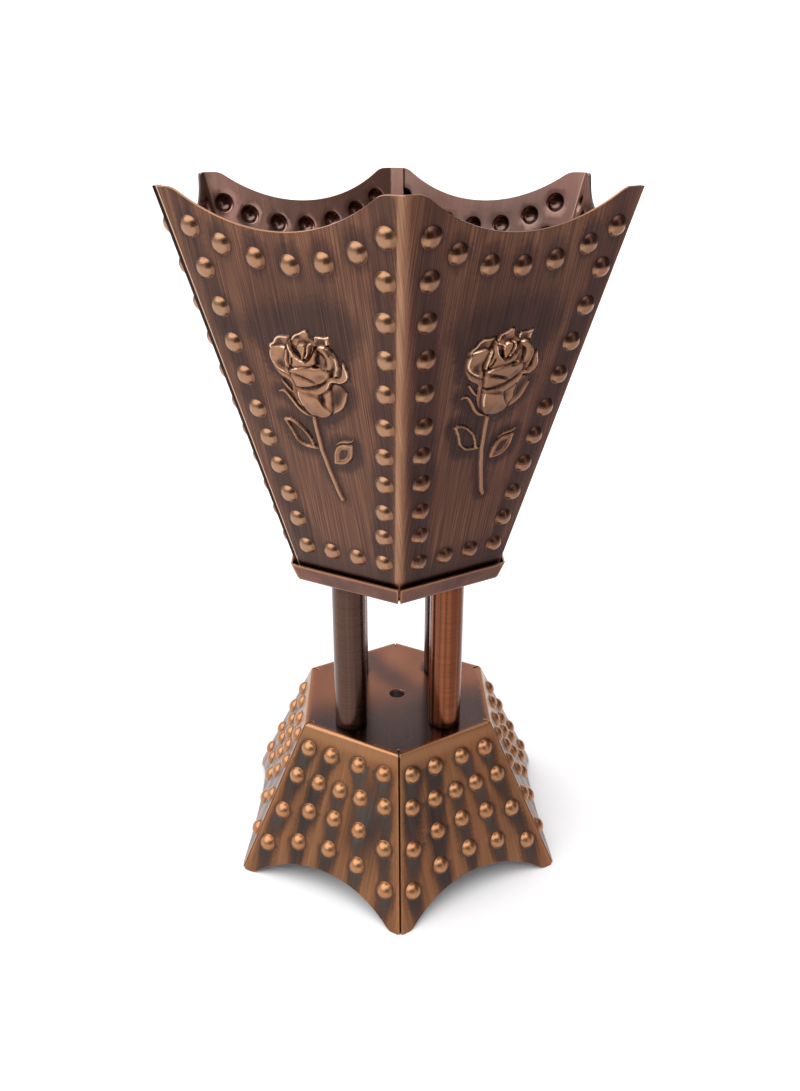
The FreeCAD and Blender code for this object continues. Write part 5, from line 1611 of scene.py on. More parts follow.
def post(name, x, y, seed):
    pc = Piece()
    h0, h1 = BASE_TOP_Z, TRAY_Z
    ro, ri = POST_R, 4.0
    c = 0.25
    prof = [(ri, h0), (ro - c, h0), (ro - c * 0.3, h0 + c * 0.3), (ro, h0 + c)]
    prof += [(ro, z) for z in np.linspace(h0 + c, h1 - c, 26)[1:]]
    prof += [(ro - c * 0.3, h1 - c * 0.3), (ro - c, h1), (ri, h1)]
    prof += [(ri, z) for z in np.linspace(h1, h0, 6)[1:-1]]
    n = len(prof)
    zz = np.array([q[1] for q in prof])
    pat = 0.85 * np.clip(1 - (zz - h0) / 2.2, 0, 1) + 0.85 * np.clip(1 - (h1 - zz) / 2.6, 0, 1)
    pol = np.zeros(n)
    lathe(pc, prof, (x, y), 72, pat, pol, closed=True, phase=0.3 * seed,
          wob=lambda a, r, z: (0.012 * np.sin(2 * a + seed + z * 0.05) * (r > 4.5), 0 * a))
    return pc


def threaded_rod(x, y, z0, z1, ends):
    """Rod with a rolled thread on its ends, turned smooth between them."""
    pc = Piece()
    seg = 28
    pitch = 0.7
    r = 2.0
    zs = [z0]
    zs += list(np.arange(z0 + 0.07, ends[0], 0.0875))
    zs += list(np.linspace(ends[0], ends[1], 12))
    zs += list(np.arange(ends[1] + 0.0875, z1, 0.0875))
    zs += [z1]
    zs = np.array(zs)
    a = np.arange(seg) * 2 * math.pi / seg
    ph = (zs[:, None] / pitch - a[None, :] / (2 * math.pi)) % 1.0
    tri = 1 - np.abs(ph - 0.5) * 2
    tri = smooth01((tri - 0.12) / 0.76)
    amp = np.where((zs < ends[0]) | (zs > ends[1]), 0.36, 0.0)
    ramp = np.clip((zs - z0) / 0.35, 0, 1) * np.clip((z1 - zs) / 0.35, 0, 1)
    rr = (r - 0.02) - amp[:, None] * (1 - tri)
    rr = rr - (1 - ramp)[:, None] * 0.4
    rr = np.where(amp[:, None] == 0, r - 0.18, rr)
    pts = np.stack([x + rr * np.cos(a), y + rr * np.sin(a), np.broadcast_to(zs[:, None], rr.shape)], -1)
    uv = np.stack([np.broadcast_to(a * 2, rr.shape), np.broadcast_to(zs[:, None], rr.shape)], -1)
    pc.add(pts.reshape(-1, 3), grid_faces(len(zs), seg, True), uv.reshape(-1, 2), 0.3, 0.0)
    for z, flip in ((z0, True), (z1, False)):
        k = 0 if flip else -1
        ctr = np.array([[x, y, z]])
        p = np.concatenate([ctr, pts[k]])
        f = [(0, 1 + j, 1 + (j + 1) % seg) for j in range(seg)]
        pc.add(p, f, np.zeros((seg + 1, 2)), 0.1, 0.5, flip=flip)
    return pc


def washers(z):
    pc = Piece()
    for x in (-POST_X, POST_X):
        for y in (-POST_Y, POST_Y):
            b = 0.1
            prof = [(2.25, z + b), (2.25, z + 0.8 - b), (2.25 + b, z + 0.8), (4.5 - b, z + 0.8), (4.5, z + 0.8 - b),
                    (4.5, z + b), (4.5 - b, z), (2.25 + b, z)]
            lathe(pc, prof[::-1], (x, y), 40, 0.15, 0.2, closed=True)
    return pc


def nuts(z):
    """Hexagon nuts with turned corners and a chamfered bore."""
    pc = Piece()
    r_c = 7.0 / 2 / COS30
    c = 0.55
    seg = 48
    for x in (-POST_X, POST_X):
        for y in (-POST_Y, POST_Y):
            a = np.radians(15) + np.arange(seg) * 2 * math.pi / seg
            rel = ((a - np.radians(15)) % (math.pi / 3)) - math.pi / 6
            hexr = 3.5 / np.cos(rel)
            hexr = np.minimum(hexr, r_c - 0.03)
            rows = []
            lo_r, hi = 3.4, z + 3.2

            def ring_at(rad, zz):
                return np.stack([x + rad * np.cos(a), y + rad * np.sin(a), np.broadcast_to(zz, rad.shape)], 1)

            one = np.ones(seg)
            # turned corner: height where the cone meets each side
            drop = np.clip((hexr - 3.4) / (r_c - 3.4), 0, 1) * c
            rows.append(ring_at(one * 2.1, z + 0.45))
            rows.append(ring_at(one * 2.5, z))
            rows.append(ring_at(one * 3.4, z))
            rows.append(ring_at(hexr, z + drop))
            rows.append(ring_at(hexr, z + 1.6))
            rows.append(ring_at(hexr, hi - drop))
            rows.append(ring_at(one * 3.4, hi))
            rows.append(ring_at(one * 2.5, hi))
            rows.append(ring_at(one * 2.1, hi - 0.45))
            rows.append(rows[0])
            pts = np.concatenate(rows)
            uv = np.concatenate([np.stack([a * 3, np.full(seg, k * 1.0)], 1) for k in range(len(rows))])
            pc.add(pts, grid_faces(len(rows), seg, True), uv, 0.1, 0.25)
    return pc


def floor_plate():
    pc = Piece()
    z = FOOT_Z + T_BOWL
    a = 26.6
    r = a / COS30
    pts = []
    for k in range(6):
        ang = math.radians(30 + 60 * k)
        c = np.array([math.cos(ang), math.sin(ang)])
        ctr = c * (r - 1.5 / COS30)
        for f in np.linspace(-30, 30, 5):
            b = ang + math.radians(f)
            pts.append(ctr + 1.5 * np.array([math.cos(b), math.sin(b)]))
    pts = np.array(pts)
    rods = [((x, y), 2.25) for x in (-POST_X, POST_X) for y in (-POST_Y, POST_Y)]

    def place(x, y, n):
        x, y, n = np.broadcast_arrays(np.asarray(x, float), np.asarray(y, float), np.asarray(n, float))
        return np.stack([x, y, z + 0.8 + n], -1)

    def att(x, y, side, n):
        return np.clip(0.45 + 0.5 * wobble(x, y, 5), 0, 1), np.zeros(len(x))

    flat(pc, "floorplate", place, pts, [True] * len(pts), 0.8, att, holes=rods, step=(1.6, 3.0), edge_polish=0.6)
    return pc


def dish():
    """Spun dish with a turned-out rim."""
    pc = Piece()
    t = 0.8
    zr, zl = 133.0, 112.0
    well, low, rim = 31.5, 27.0, 36.4

    def arc(c, r, a0, a1, n):
        return [(c[0] + r * math.cos(a), c[1] + r * math.sin(a)) for a in np.radians(np.linspace(a0, a1, n))]

    wall = math.atan2(zr - zl, well - low)
    wd = math.degrees(wall)
    # upper side from the middle out
    up = [(0.0, zl + t)]
    up += [(r, zl + t + 0.0) for r in (4, 9, 14, 19, 22.2)]
    cr = 3.0
    # fillet between floor and wall: tangent to z=zl+t and to the wall line
    base_r = low - t - 0.05
    th = math.radians(90 - wd)
    tx = cr * math.tan((math.pi / 2 - (math.pi / 2 - wall)) / 2)
    c0 = (base_r + (t + cr) / math.tan(wall) * 0 - tx, zl + t + cr)
    up += arc(c0, cr, -90, -90 + wd, 8)
    r_w, z_w = up[-1]
    k = (zr - 1.9 - z_w)
    r_e = r_w + k / math.tan(wall)
    for f in np.linspace(0, 1, 9)[1:]:
        up.append((r_w + (r_e - r_w) * f, z_w + k * f))
    # turned-out shoulder
    sh = 1.5
    cx = up[-1][0] + sh * math.sin(wall)
    cz = up[-1][1] - sh * math.cos(wall)
    sh_pts = [(cx - sh * math.sin(wall) * math.cos(q) - 0 * q, cz) for q in ()]
    top_z = zr - 0.02
    ctl = [up[-1], (up[-1][0] + 0.25, top_z - 0.75), (up[-1][0] + 0.85, top_z - 0.16), (up[-1][0] + 1.6, top_z)]
    for f in np.linspace(0, 1, 7)[1:]:
        q = [(1 - f) ** 3, 3 * f * (1 - f) ** 2, 3 * f * f * (1 - f), f ** 3]
        up.append((sum(w * p[0] for w, p in zip(q, ctl)), sum(w * p[1] for w, p in zip(q, ctl))))
    up += [(rim - 1.2, top_z), (rim - 0.42, top_z)]
    up += arc((rim - 0.4, zr - 0.4), 0.38, 75, -75, 7)
    # under side back in, kept one sheet away
    under = [(rim - 0.5, zr - t + 0.01), (well + 1.6, zr - t)]
    under += [(well + 0.75, zr - t - 0.35), (well + 0.35, zr - t - 1.2)]
    for f in np.linspace(0, 1, 7)[1:]:
        under.append((well + 0.35 + (low + 0.55 - well - 0.35) * f, zr - t - 1.2 + (zl + 3.0 - (zr - t - 1.2)) * f))
    under += [(low + 0.1, zl + 1.5), (low - 1.0, zl + 0.5), (low - 2.6, zl), (22.0, zl), (12.0, zl), (0.0, zl)]
    prof = up + under
    zz = np.array([p[1] for p in prof])
    rr = np.array([p[0] for p in prof])
    n_up = len(up)
    pat = np.zeros(len(prof))
    pat[:n_up] = np.clip(1.0 - (zz[:n_up] - zl) / 17.0, 0.25, 1)
    pat[n_up:] = 0.4
    pol = np.where((rr > rim - 0.9), 0.7, 0.0)
    # from under the middle out and over: counter-clockwise for outward faces
    lathe(pc, prof[::-1], (0, 0), 128, pat[::-1], pol[::-1],
          wob=lambda a, r, z: (0.035 * np.sin(3 * a + 0.4) * (r > 24), 0.02 * np.sin(2 * a + z * 0.2) * (r > 24) * (r < 34)))
    return pc


# ------------------------------------------------------------------ materials
class Nodes:
    """Short calls for building a node material."""

    def __init__(self, name):
        self.m = bpy.data.materials.new(name)
        self.m.use_nodes = True
        self.t = self.m.node_tree
        self.n = self.t.nodes
        self.b = self.n["Principled BSDF"]
        self.x = 0

    def new(self, kind):
        k = self.n.new(kind)
        self.x -= 1
        k.location = (-260 + 12 * self.x, 200 - (self.x * 97) % 900)
        return k

    def link(self, a, b):
        self.t.links.new(a, b)

    def feed(self, sock, val):
        if isinstance(val, (int, float)):
            sock.default_value = val
        elif isinstance(val, tuple):
            sock.default_value = val if len(sock.default_value) == len(val) else (*val, 1.0)
        else:
            self.link(val, sock)

    def attr(self, name):
        k = self.new("ShaderNodeAttribute")
        k.attribute_name = name
        return k.outputs["Fac"]

    def uv(self, sx, sy, off=(0.0, 0.0, 0.0), warp=None, amount=0.0):
        """Sheet coordinates in mm, scaled."""
        k = self.new("ShaderNodeUVMap")
        k.uv_map = "sheet"
        src = k.outputs["UV"]
        if warp is not None:
            a = self.new("ShaderNodeVectorMath")
            a.operation = "MULTIPLY_ADD"
            self.link(warp, a.inputs[0])
            a.inputs[1].default_value = (amount, amount, 0)
            self.link(src, a.inputs[2])
            src = a.outputs[0]
        m = self.new("ShaderNodeMapping")
        m.inputs["Location"].default_value = off
        m.inputs["Scale"].default_value = (sx * 100, sy * 100, 1)
        self.link(src, m.inputs["Vector"])
        return m.outputs["Vector"]

    def spot(self, scale, off=(0.0, 0.0, 0.0)):
        """Object coordinates in mm, scaled."""
        k = self.new("ShaderNodeTexCoord")
        m = self.new("ShaderNodeMapping")
        m.inputs["Location"].default_value = off
        s = scale if isinstance(scale, tuple) else (scale, scale, scale)
        m.inputs["Scale"].default_value = tuple(1000 * c for c in s)
        self.link(k.outputs["Object"], m.inputs["Vector"])
        return m.outputs["Vector"]

    def noise(self, vec, detail=2.0, rough=0.5, kind="Fac", distortion=0.0):
        k = self.new("ShaderNodeTexNoise")
        k.noise_dimensions = "3D"
        k.inputs["Scale"].default_value = 1.0
        k.inputs["Detail"].default_value = detail
        k.inputs["Roughness"].default_value = rough
        k.inputs["Distortion"].default_value = distortion
        self.link(vec, k.inputs["Vector"])
        return k.outputs[kind]

    def math(self, op, a, b=None, c=None, clamp=False):
        k = self.new("ShaderNodeMath")
        k.operation = op
        k.use_clamp = clamp
        self.feed(k.inputs[0], a)
        if b is not None:
            self.feed(k.inputs[1], b)
        if c is not None:
            self.feed(k.inputs[2], c)
        return k.outputs[0]

    def fit(self, val, a, b, c, d, smooth=False):
        k = self.new("ShaderNodeMapRange")
        k.interpolation_type = "SMOOTHSTEP" if smooth else "LINEAR"
        for i, w in enumerate((a, b, c, d)):
            k.inputs[i + 1].default_value = w
        self.feed(k.inputs[0], val)
        return k.outputs[0]

    def ramp(self, fac, stops):
        k = self.new("ShaderNodeValToRGB")
        e = k.color_ramp.elements
        while len(e) < len(stops):
            e.new(0.5)
        for el, (p, c) in zip(e, stops):
            el.position = p
            el.color = (*c, 1.0)
        self.link(fac, k.inputs[0])
        return k.outputs[0]

    def mix(self, fac, a, b, mode="MIX"):
        k = self.new("ShaderNodeMix")
        k.data_type = "RGBA"
        k.blend_type = mode
        self.feed(k.inputs[0], fac)
        self.feed(k.inputs[6], a)
        self.feed(k.inputs[7], b)
        return k.outputs[2]

    def bump(self, height, strength, mm, normal=None):
        k = self.new("ShaderNodeBump")
        k.inputs["Strength"].default_value = strength
        k.inputs["Distance"].default_value = mm * MM
        self.link(height, k.inputs["Height"])
        if normal is not None:
            self.link(normal, k.inputs["Normal"])
        return k.outputs[0]

    def done(self, metallic=1.0, **sockets):
        self.b.inputs["Metallic"].default_value = metallic
        for key, val in sockets.items():
            self.feed(self.b.inputs[key.replace("_", " ")], val)
        return self.m


def srgb(*c):
    return tuple((x / 255 / 12.92) if x / 255 <= 0.04045 else ((x / 255 + 0.055) / 1.055) ** 2.4 for x in c)


def copper(name, stops, base=0.42, stroke=0.34, broad=0.16, seed=0.0, along=0.055, across=1.5, rough=(0.42, 0.24),
           coat=0.6, worn=0.62, dark=0.46, reddish=0.35, grain_bump=0.10, aniso=0.0, turn=0.0, patina_slate_and_sheen=0.0,
           coat_rough=0.16, warp=0.010, painted_reflection_lines=0.0, fold=False, matt=0.0, ragged=1.1):
    """Brushed copper sheet with an antique finish under clear lacquer: dark
    in the patina, bare where it has been polished back."""
    k = Nodes(name)
    pat, pol = k.attr("patina"), k.attr("polish")
    drift = k.noise(k.uv(0.05, 0.012, (seed, 3.0, seed)), 2.0, 0.5, "Color")
    fine = k.noise(k.uv(across, along, (seed, seed * 2, 1.0), drift, warp), 3.0, 0.62)
    hair = k.noise(k.uv(across * 2.4, along * 0.8, (seed * 3, seed, 5.0), drift, warp * 0.8), 2.0, 0.5)
    wide = k.noise(k.uv(across * 0.16, along * 0.3, (seed, 7.0, seed * 2)), 2.0, 0.5)
    cloud = k.noise(k.uv(0.055, 0.035, (seed * 2, 11.0, seed)), 3.0, 0.55)
    speck = k.noise(k.spot(1.5, (seed, 0, 0)), 2.0, 0.6)
    s1 = k.math("SUBTRACT", fine, 0.5)
    s2 = k.math("SUBTRACT", hair, 0.5)
    s3 = k.math("SUBTRACT", wide, 0.5)
    s4 = k.math("SUBTRACT", cloud, 0.5)
    # the edge of the patina is broken up by the strokes
    pe = k.math("ADD", pat, k.math("MULTIPLY", k.math("MULTIPLY", s1, ragged), pat), clamp=True)
    # where the metal has been rubbed bare the strokes are gone too
    quiet = k.math("SUBTRACT", 1.0, k.math("MULTIPLY", pol, 0.85))
    t = k.math("MULTIPLY", s1, stroke * 1.7)
    t = k.math("MULTIPLY_ADD", s2, stroke * 1.5, t)
    t = k.math("MULTIPLY_ADD", s3, broad * 1.5, t)
    t = k.math("MULTIPLY_ADD", s4, broad * 1.2, t)
    t = k.math("MULTIPLY_ADD", t, quiet, base)
    if painted_reflection_lines:
        # painted reflection: long bright and dull lines down the tube stand in for the room reflected in its brushed
        # surface
        line = k.noise(k.uv(0.55, 0.002, (seed, 1.0, seed)), 3.0, 0.55)
        t = k.math("MULTIPLY_ADD", k.math("SUBTRACT", line, 0.5), painted_reflection_lines * 2.0, t)
    t = k.math("MULTIPLY_ADD", pe, -dark, t)
    t = k.math("MAXIMUM", t, 0.02)
    # bare metal
    t = k.math("MULTIPLY_ADD", k.math("SUBTRACT", worn, t), pol, t, clamp=True)
    if matt:
        # painted highlight: the thin free edges, where polish is highest, are made paler still
        t = k.math("MULTIPLY_ADD", k.fit(pol, 0.80, 0.98, 0.0, 1.0, True), 0.16, t, clamp=True)
    if fold:
        # the front fold of each sheet is rubbed bare: crisp on its own side,
        # fading out over the next
        raw = k.new("ShaderNodeUVMap")
        raw.uv_map = "sheet"
        sep = k.new("ShaderNodeSeparateXYZ")
        k.link(raw.outputs["UV"], sep.inputs[0])
        u = k.math("MULTIPLY", sep.outputs[0], 100.0)
        half = k.math("MULTIPLY_ADD", sep.outputs[1], 100.0 * FOLD_SLOPE, FOLD_FOOT)
        second = k.math("GREATER_THAN", u, 40.0)
        first = k.math("MULTIPLY", k.math("SUBTRACT", 1.0, second), k.math("GREATER_THAN", u, 4.0))
        gap_a = k.math("MULTIPLY_ADD", s1, 0.35, k.math("SUBTRACT", half, u))
        gap_b = k.math("MULTIPLY_ADD", s3, 1.6, k.math("ADD", k.math("SUBTRACT", u, 80.0), half))
        m_a = k.math("MULTIPLY", k.fit(gap_a, 1.15, 1.45, 1.0, 0.0, True), first)
        m_b = k.math("MULTIPLY", k.fit(gap_b, 0.2, 2.8, 0.85, 0.0, True), second)
        strip_mask = k.math("ADD", m_a, m_b, clamp=True)
        bare = k.math("MULTIPLY_ADD", s3, 0.26, fold)
        bare = k.math("MULTIPLY_ADD", s1, 0.42, bare)
        bare = k.math("MULTIPLY_ADD", s2, 0.34, bare)
        t = k.math("MULTIPLY_ADD", k.math("SUBTRACT", bare, t), strip_mask, t, clamp=True)
    col = k.ramp(t, stops)
    # some areas are redder than others
    red = k.fit(k.noise(k.uv(0.05, 0.03, (seed + 9, 2.0, 4.0)), 2.0, 0.5), 0.4, 0.65, 0.0, reddish, True)
    col = k.mix(red, col, k.mix(1.0, col, (1.06, 0.84, 0.80), "MULTIPLY"))
    if patina_slate_and_sheen:
        # the patina turns slate blue where it is thick; partly painted sheen, as the blue-grey also stands in for the
        # lacquer's grey reflection of bright surroundings
        blue = k.math("MULTIPLY", k.fit(pe, 0.28, 0.85, 0.0, patina_slate_and_sheen, True), k.fit(cloud, 0.35, 0.65, 0.4, 1.0, True))
        col = k.mix(blue, col, srgb(92, 90, 84))
    r = k.fit(t, 0.1, 0.9, rough[0], rough[1])
    if matt:
        # the stamped flower is half polished and stays grainy
        half_way = k.math("MULTIPLY", k.fit(pol, 0.20, 0.40, 0.0, 1.0, True), k.fit(pol, 0.62, 0.70, 1.0, 0.0, True))
        r = k.math("MULTIPLY_ADD", half_way, matt, r)
    r = k.math("MULTIPLY_ADD", k.math("MULTIPLY", s1, quiet), 0.14, r)
    r = k.math("MULTIPLY_ADD", k.math("SUBTRACT", speck, 0.5), 0.06, r)
    h = k.math("ADD", k.math("MULTIPLY", fine, 0.7), k.math("MULTIPLY", hair, 0.3))
    nrm = k.bump(k.math("MULTIPLY", h, quiet), grain_bump, 0.06)
    nrm = k.bump(speck, 0.05, 0.05, nrm)
    if matt:
        grain = k.noise(k.spot(2.2, (seed, 4, 0)), 3.0, 0.65)
        nrm = k.bump(k.math("MULTIPLY", grain, half_way), 0.55, 0.16, nrm)
    if aniso:
        tan = k.new("ShaderNodeTangent")
        tan.direction_type = "UV_MAP"
        tan.uv_map = "sheet"
        k.link(tan.outputs[0], k.b.inputs["Tangent"])
        k.b.inputs["Anisotropic"].default_value = aniso
        k.b.inputs["Anisotropic Rotation"].default_value = turn
    k.b.inputs["Coat Weight"].default_value = coat
    k.b.inputs["Coat Roughness"].default_value = coat_rough
    k.b.inputs["Coat IOR"].default_value = 1.5
    return k.done(1.0, Base_Color=col, Roughness=r, Normal=nrm)


FOLD_FOOT = BOWL_LOW_R / 2
FOLD_SLOPE = (BOWL_TOP_R - BOWL_LOW_R) / 2 / math.hypot(BOWL_TOP_Z - BOWL_LOW_Z, (BOWL_TOP_R - BOWL_LOW_R) * COS30)
BOWL_STOPS = [(0.0, srgb(36, 25, 24)), (0.20, srgb(60, 42, 38)), (0.40, srgb(95, 64, 50)), (0.60, srgb(138, 99, 73)),
              (0.80, srgb(170, 131, 101)), (1.0, srgb(240, 208, 176))]
BASE_STOPS = [(0.0, srgb(36, 28, 28)), (0.20, srgb(64, 47, 42)), (0.42, srgb(106, 74, 54)), (0.62, srgb(150, 104, 70)),
              (0.82, srgb(184, 136, 96)), (1.0, srgb(220, 176, 136))]
PLATE_STOPS = [(0.0, srgb(44, 33, 34)), (0.25, srgb(78, 54, 50)), (0.45, srgb(118, 76, 58)), (0.65, srgb(170, 106, 70)),
               (0.85, srgb(204, 142, 100)), (1.0, srgb(230, 182, 140))]
TRAY_STOPS = [(0.0, srgb(46, 30, 27)), (0.25, srgb(88, 56, 45)), (0.5, srgb(142, 92, 70)), (0.75, srgb(182, 126, 97)),
              (1.0, srgb(224, 176, 144))]
INNER_STOPS = [(0.0, srgb(22, 19, 21)), (0.3, srgb(72, 54, 50)), (0.55, srgb(130, 98, 87)), (0.8, srgb(178, 140, 122)),
               (1.0, srgb(214, 172, 146))]
POST_PAINTED_SHADE_STOPS = [(0.0, srgb(30, 21, 20)), (0.3, srgb(58, 41, 35)), (0.6, srgb(96, 68, 55)), (1.0, srgb(152, 114, 92))]
POST_PAINTED_LIGHT_STOPS = [(0.0, srgb(38, 20, 14)), (0.3, srgb(74, 40, 26)), (0.6, srgb(132, 76, 46)), (1.0, srgb(212, 144, 96))]

M_BOWL = copper("bowl_copper_antique", BOWL_STOPS, base=0.400, stroke=0.38, broad=0.06, seed=1.0, worn=0.84, dark=0.34,
                across=3.3, along=0.035, aniso=0.35, fold=0.68, rough=(0.40, 0.28), coat=0.22, matt=0.10)
M_INNER = copper("inner_sheet", INNER_STOPS, base=0.66, stroke=0.05, broad=0.09, seed=5.0, rough=(0.24, 0.24), coat=0.5,
                 worn=0.85, dark=0.60, reddish=0.55, grain_bump=0.02)
M_EDGE = copper("cut_edge", BASE_STOPS, base=0.45, stroke=0.02, broad=0.04, seed=3.0, rough=(0.3, 0.30), worn=0.86, coat=0.3,
                grain_bump=0.0)
M_BASE = copper("base_copper_antique", BASE_STOPS, base=0.58, stroke=0.16, broad=0.14, seed=2.0, dark=0.60, worn=0.86,
                rough=(0.42, 0.35), patina_slate_and_sheen=0.72, across=0.9, grain_bump=0.04, coat=0.20)
M_PLATE = copper("plate_copper_antique", PLATE_STOPS, base=0.68, stroke=0.02, ragged=0.25, broad=0.10, seed=9.0, dark=0.62, worn=0.84,
                 rough=(0.27, 0.21), patina_slate_and_sheen=0.2, grain_bump=0.02, across=0.8)
M_TRAY = copper("tray_copper_antique", TRAY_STOPS, base=0.355, stroke=0.08, broad=0.10, seed=4.0, dark=0.3, worn=0.90,
                rough=(0.34, 0.26), coat=0.3)
M_UNDER = copper("under_sheet", INNER_STOPS, base=0.42, stroke=0.08, broad=0.1, seed=6.0, rough=(0.42, 0.36), coat=0.2,
                 worn=0.6)
# painted light: the posts are one copper, made as a shaded copy and a lit copy
M_POST_PAINTED_SHADE = copper("post_painted_shade", POST_PAINTED_SHADE_STOPS, base=0.46, stroke=0.11, broad=0.06, seed=7.0, along=2.2, across=0.02, dark=0.4,
                  rough=(0.30, 0.26), aniso=0.6, turn=0.25, grain_bump=0.05, warp=0.0, painted_reflection_lines=0.26, reddish=0.2, coat=0.25)
M_POST_PAINTED_LIGHT = copper("post_painted_light", POST_PAINTED_LIGHT_STOPS, base=0.53, stroke=0.11, broad=0.06, seed=8.0, along=2.2, across=0.02,
                  dark=0.45, rough=(0.28, 0.22), aniso=0.6, turn=0.25, grain_bump=0.05, warp=0.0, painted_reflection_lines=0.55,
                  reddish=0.2, coat=0.2)


def steel(name, tint, rough, seed):
    """Zinc-plated steel, a little dulled."""
    k = Nodes(name)
    pat, pol = k.attr("patina"), k.attr("polish")
    a = k.noise(k.spot(0.6, (seed, 0, 0)), 4.0, 0.6)
    b = k.noise(k.spot((5.0, 5.0, 0.4), (seed, 2, 0)), 2.0, 0.5)
    t = k.math("MULTIPLY_ADD", k.math("SUBTRACT", a, 0.5), 0.5, 0.55)
    t = k.math("MULTIPLY_ADD", k.math("SUBTRACT", b, 0.5), 0.25, t)
    t = k.math("MULTIPLY_ADD", pat, -0.4, t)
    t = k.math("MULTIPLY_ADD", pol, 0.25, t, clamp=True)
    col = k.ramp(t, [(0.0, tuple(0.10 * c for c in tint)), (0.5, tuple(0.42 * c for c in tint)),
                     (1.0, tuple(0.72 * c for c in tint))])
    r = k.fit(t, 0.1, 0.9, rough + 0.14, rough - 0.06)
    return k.done(1.0, Base_Color=col, Roughness=r, Normal=k.bump(b, 0.08, 0.03))


M_STEEL = steel("zinc_steel", (1.0, 0.97, 0.92), 0.34, 1.0)
M_ROD = steel("rod_steel", (0.92, 0.92, 0.95), 0.38, 4.0)


def dish_metal():
    """Spun sheet steel with turning marks, blued and sooted in the middle."""
    k = Nodes("dish_sheet")
    pat, pol = k.attr("patina"), k.attr("polish")
    turn = k.noise(k.uv(0.02, 2.4, (1, 2, 3)), 2.0, 0.6)
    cloud = k.noise(k.spot(0.10, (2, 1, 0)), 4.0, 0.6)
    fine = k.noise(k.spot(0.9, (5, 1, 0)), 3.0, 0.6)
    heat = k.math("MULTIPLY_ADD", k.math("SUBTRACT", cloud, 0.5), 1.1, pat)
    heat = k.math("MULTIPLY_ADD", k.math("SUBTRACT", fine, 0.5), 0.4, heat, clamp=True)
    col = k.ramp(heat, [(0.0, (0.36, 0.31, 0.27)), (0.25, (0.30, 0.235, 0.19)), (0.45, (0.20, 0.145, 0.125)),
                        (0.65, (0.10, 0.085, 0.09)), (1.0, (0.035, 0.033, 0.034))])
    col = k.mix(k.math("MULTIPLY", pol, 0.7), col, (0.55, 0.46, 0.38))
    r = k.fit(heat, 0.0, 1.0, 0.26, 0.62)
    r = k.math("MULTIPLY_ADD", k.math("SUBTRACT", turn, 0.5), 0.14, r)
    nrm = k.bump(turn, 0.22, 0.05)
    nrm = k.bump(fine, 0.12, 0.05, nrm)
    k.b.inputs["Anisotropic"].default_value = 0.5
    tan = k.new("ShaderNodeTangent")
    tan.direction_type = "RADIAL"
    tan.axis = "Z"
    k.link(tan.outputs[0], k.b.inputs["Tangent"])
    return k.done(1.0, Base_Color=col, Roughness=r, Normal=nrm)


M_DISH = dish_metal()

BOWL_SET = [M_BOWL, M_INNER, M_EDGE]
BASE_SET = [M_BASE, M_UNDER, M_EDGE, M_PLATE]
TRAY_SET = [M_TRAY, M_TRAY, M_EDGE]
made = {}


def put(name, pc, mats, node, body="burner", sharp=32.0):
    ob = pc.build(name, mats, sharp=sharp)
    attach(ob, body)
    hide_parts(node)
    made[name] = ob
    return ob


put("bowl_front", bowl_sheet("front", 210.0, 100), BOWL_SET, "bowl_sheet_front")
put("bowl_right", bowl_sheet("right", 330.0, 200), BOWL_SET, "bowl_sheet_right")
put("bowl_left", bowl_sheet("left", 90.0, 300), BOWL_SET, "bowl_sheet_left")
put("base", pan("base"), BASE_SET, "base_shell")
put("tray", pan("tray"), TRAY_SET, "stem_tray")
for k, (tag, x, y) in enumerate((("front_left", -POST_X, -POST_Y), ("front_right", POST_X, -POST_Y),
                                 ("rear_left", -POST_X, POST_Y), ("rear_right", POST_X, POST_Y))):
    # painted light: the front right post gets the lit copy of the post copper, the others the shaded copy
    put("stem_" + tag, post(tag, x, y, k), [M_POST_PAINTED_LIGHT if k == 1 else M_POST_PAINTED_SHADE], "post_" + tag, sharp=50)
    put("rod_" + tag, threaded_rod(x, y, 41.2, 104.5, (46.3, 99.2)), [M_ROD], "tie_rod_" + tag, sharp=60)
put("washers_top", washers(99.5), [M_STEEL], "upper_washers")
put("washers_under", washers(45.4), [M_STEEL], "lower_washers")
put("nuts_top", nuts(100.3), [M_STEEL], "upper_nuts", sharp=25)
put("nuts_under", nuts(42.2), [M_STEEL], "lower_nuts", sharp=25)
put("floor_disc", floor_plate(), [M_UNDER, M_UNDER, M_EDGE], "bowl_floor_plate")
put("dish_pan", dish(), [M_DISH], "charcoal_dish", body="dish", sharp=60)


# ----------------------------------------------------------- camera and light
def rot_z(v, deg):
    a = math.radians(deg)
    return Vector((v[0] * math.cos(a) - v[1] * math.sin(a), v[0] * math.sin(a) + v[1] * math.cos(a), v[2]))


cam_data = bpy.data.cameras.new("photo_camera")
cam_data.sensor_width = 36.0
cam_data.lens = 31.12
cam = bpy.data.objects.new("photo_camera", cam_data)
bpy.context.scene.collection.objects.link(cam)
eye = rot_z((0.92, -265.3, 219.1), -1.23) * MM
aim = rot_z((0.92, 0.0, 100.6), -1.23) * MM
look = (aim - eye).normalized()
cam.location = eye
q = look.to_track_quat("-Z", "Y")
cam.rotation_mode = "QUATERNION"
cam.rotation_quaternion = q @ Matrix.Rotation(math.radians(0.10), 3, "Z").to_quaternion()
cam_data.clip_start = 0.01
bpy.context.scene.camera = cam
bpy.context.scene.view_settings.view_transform = "Standard"
bpy.context.scene.view_settings.look = "None"


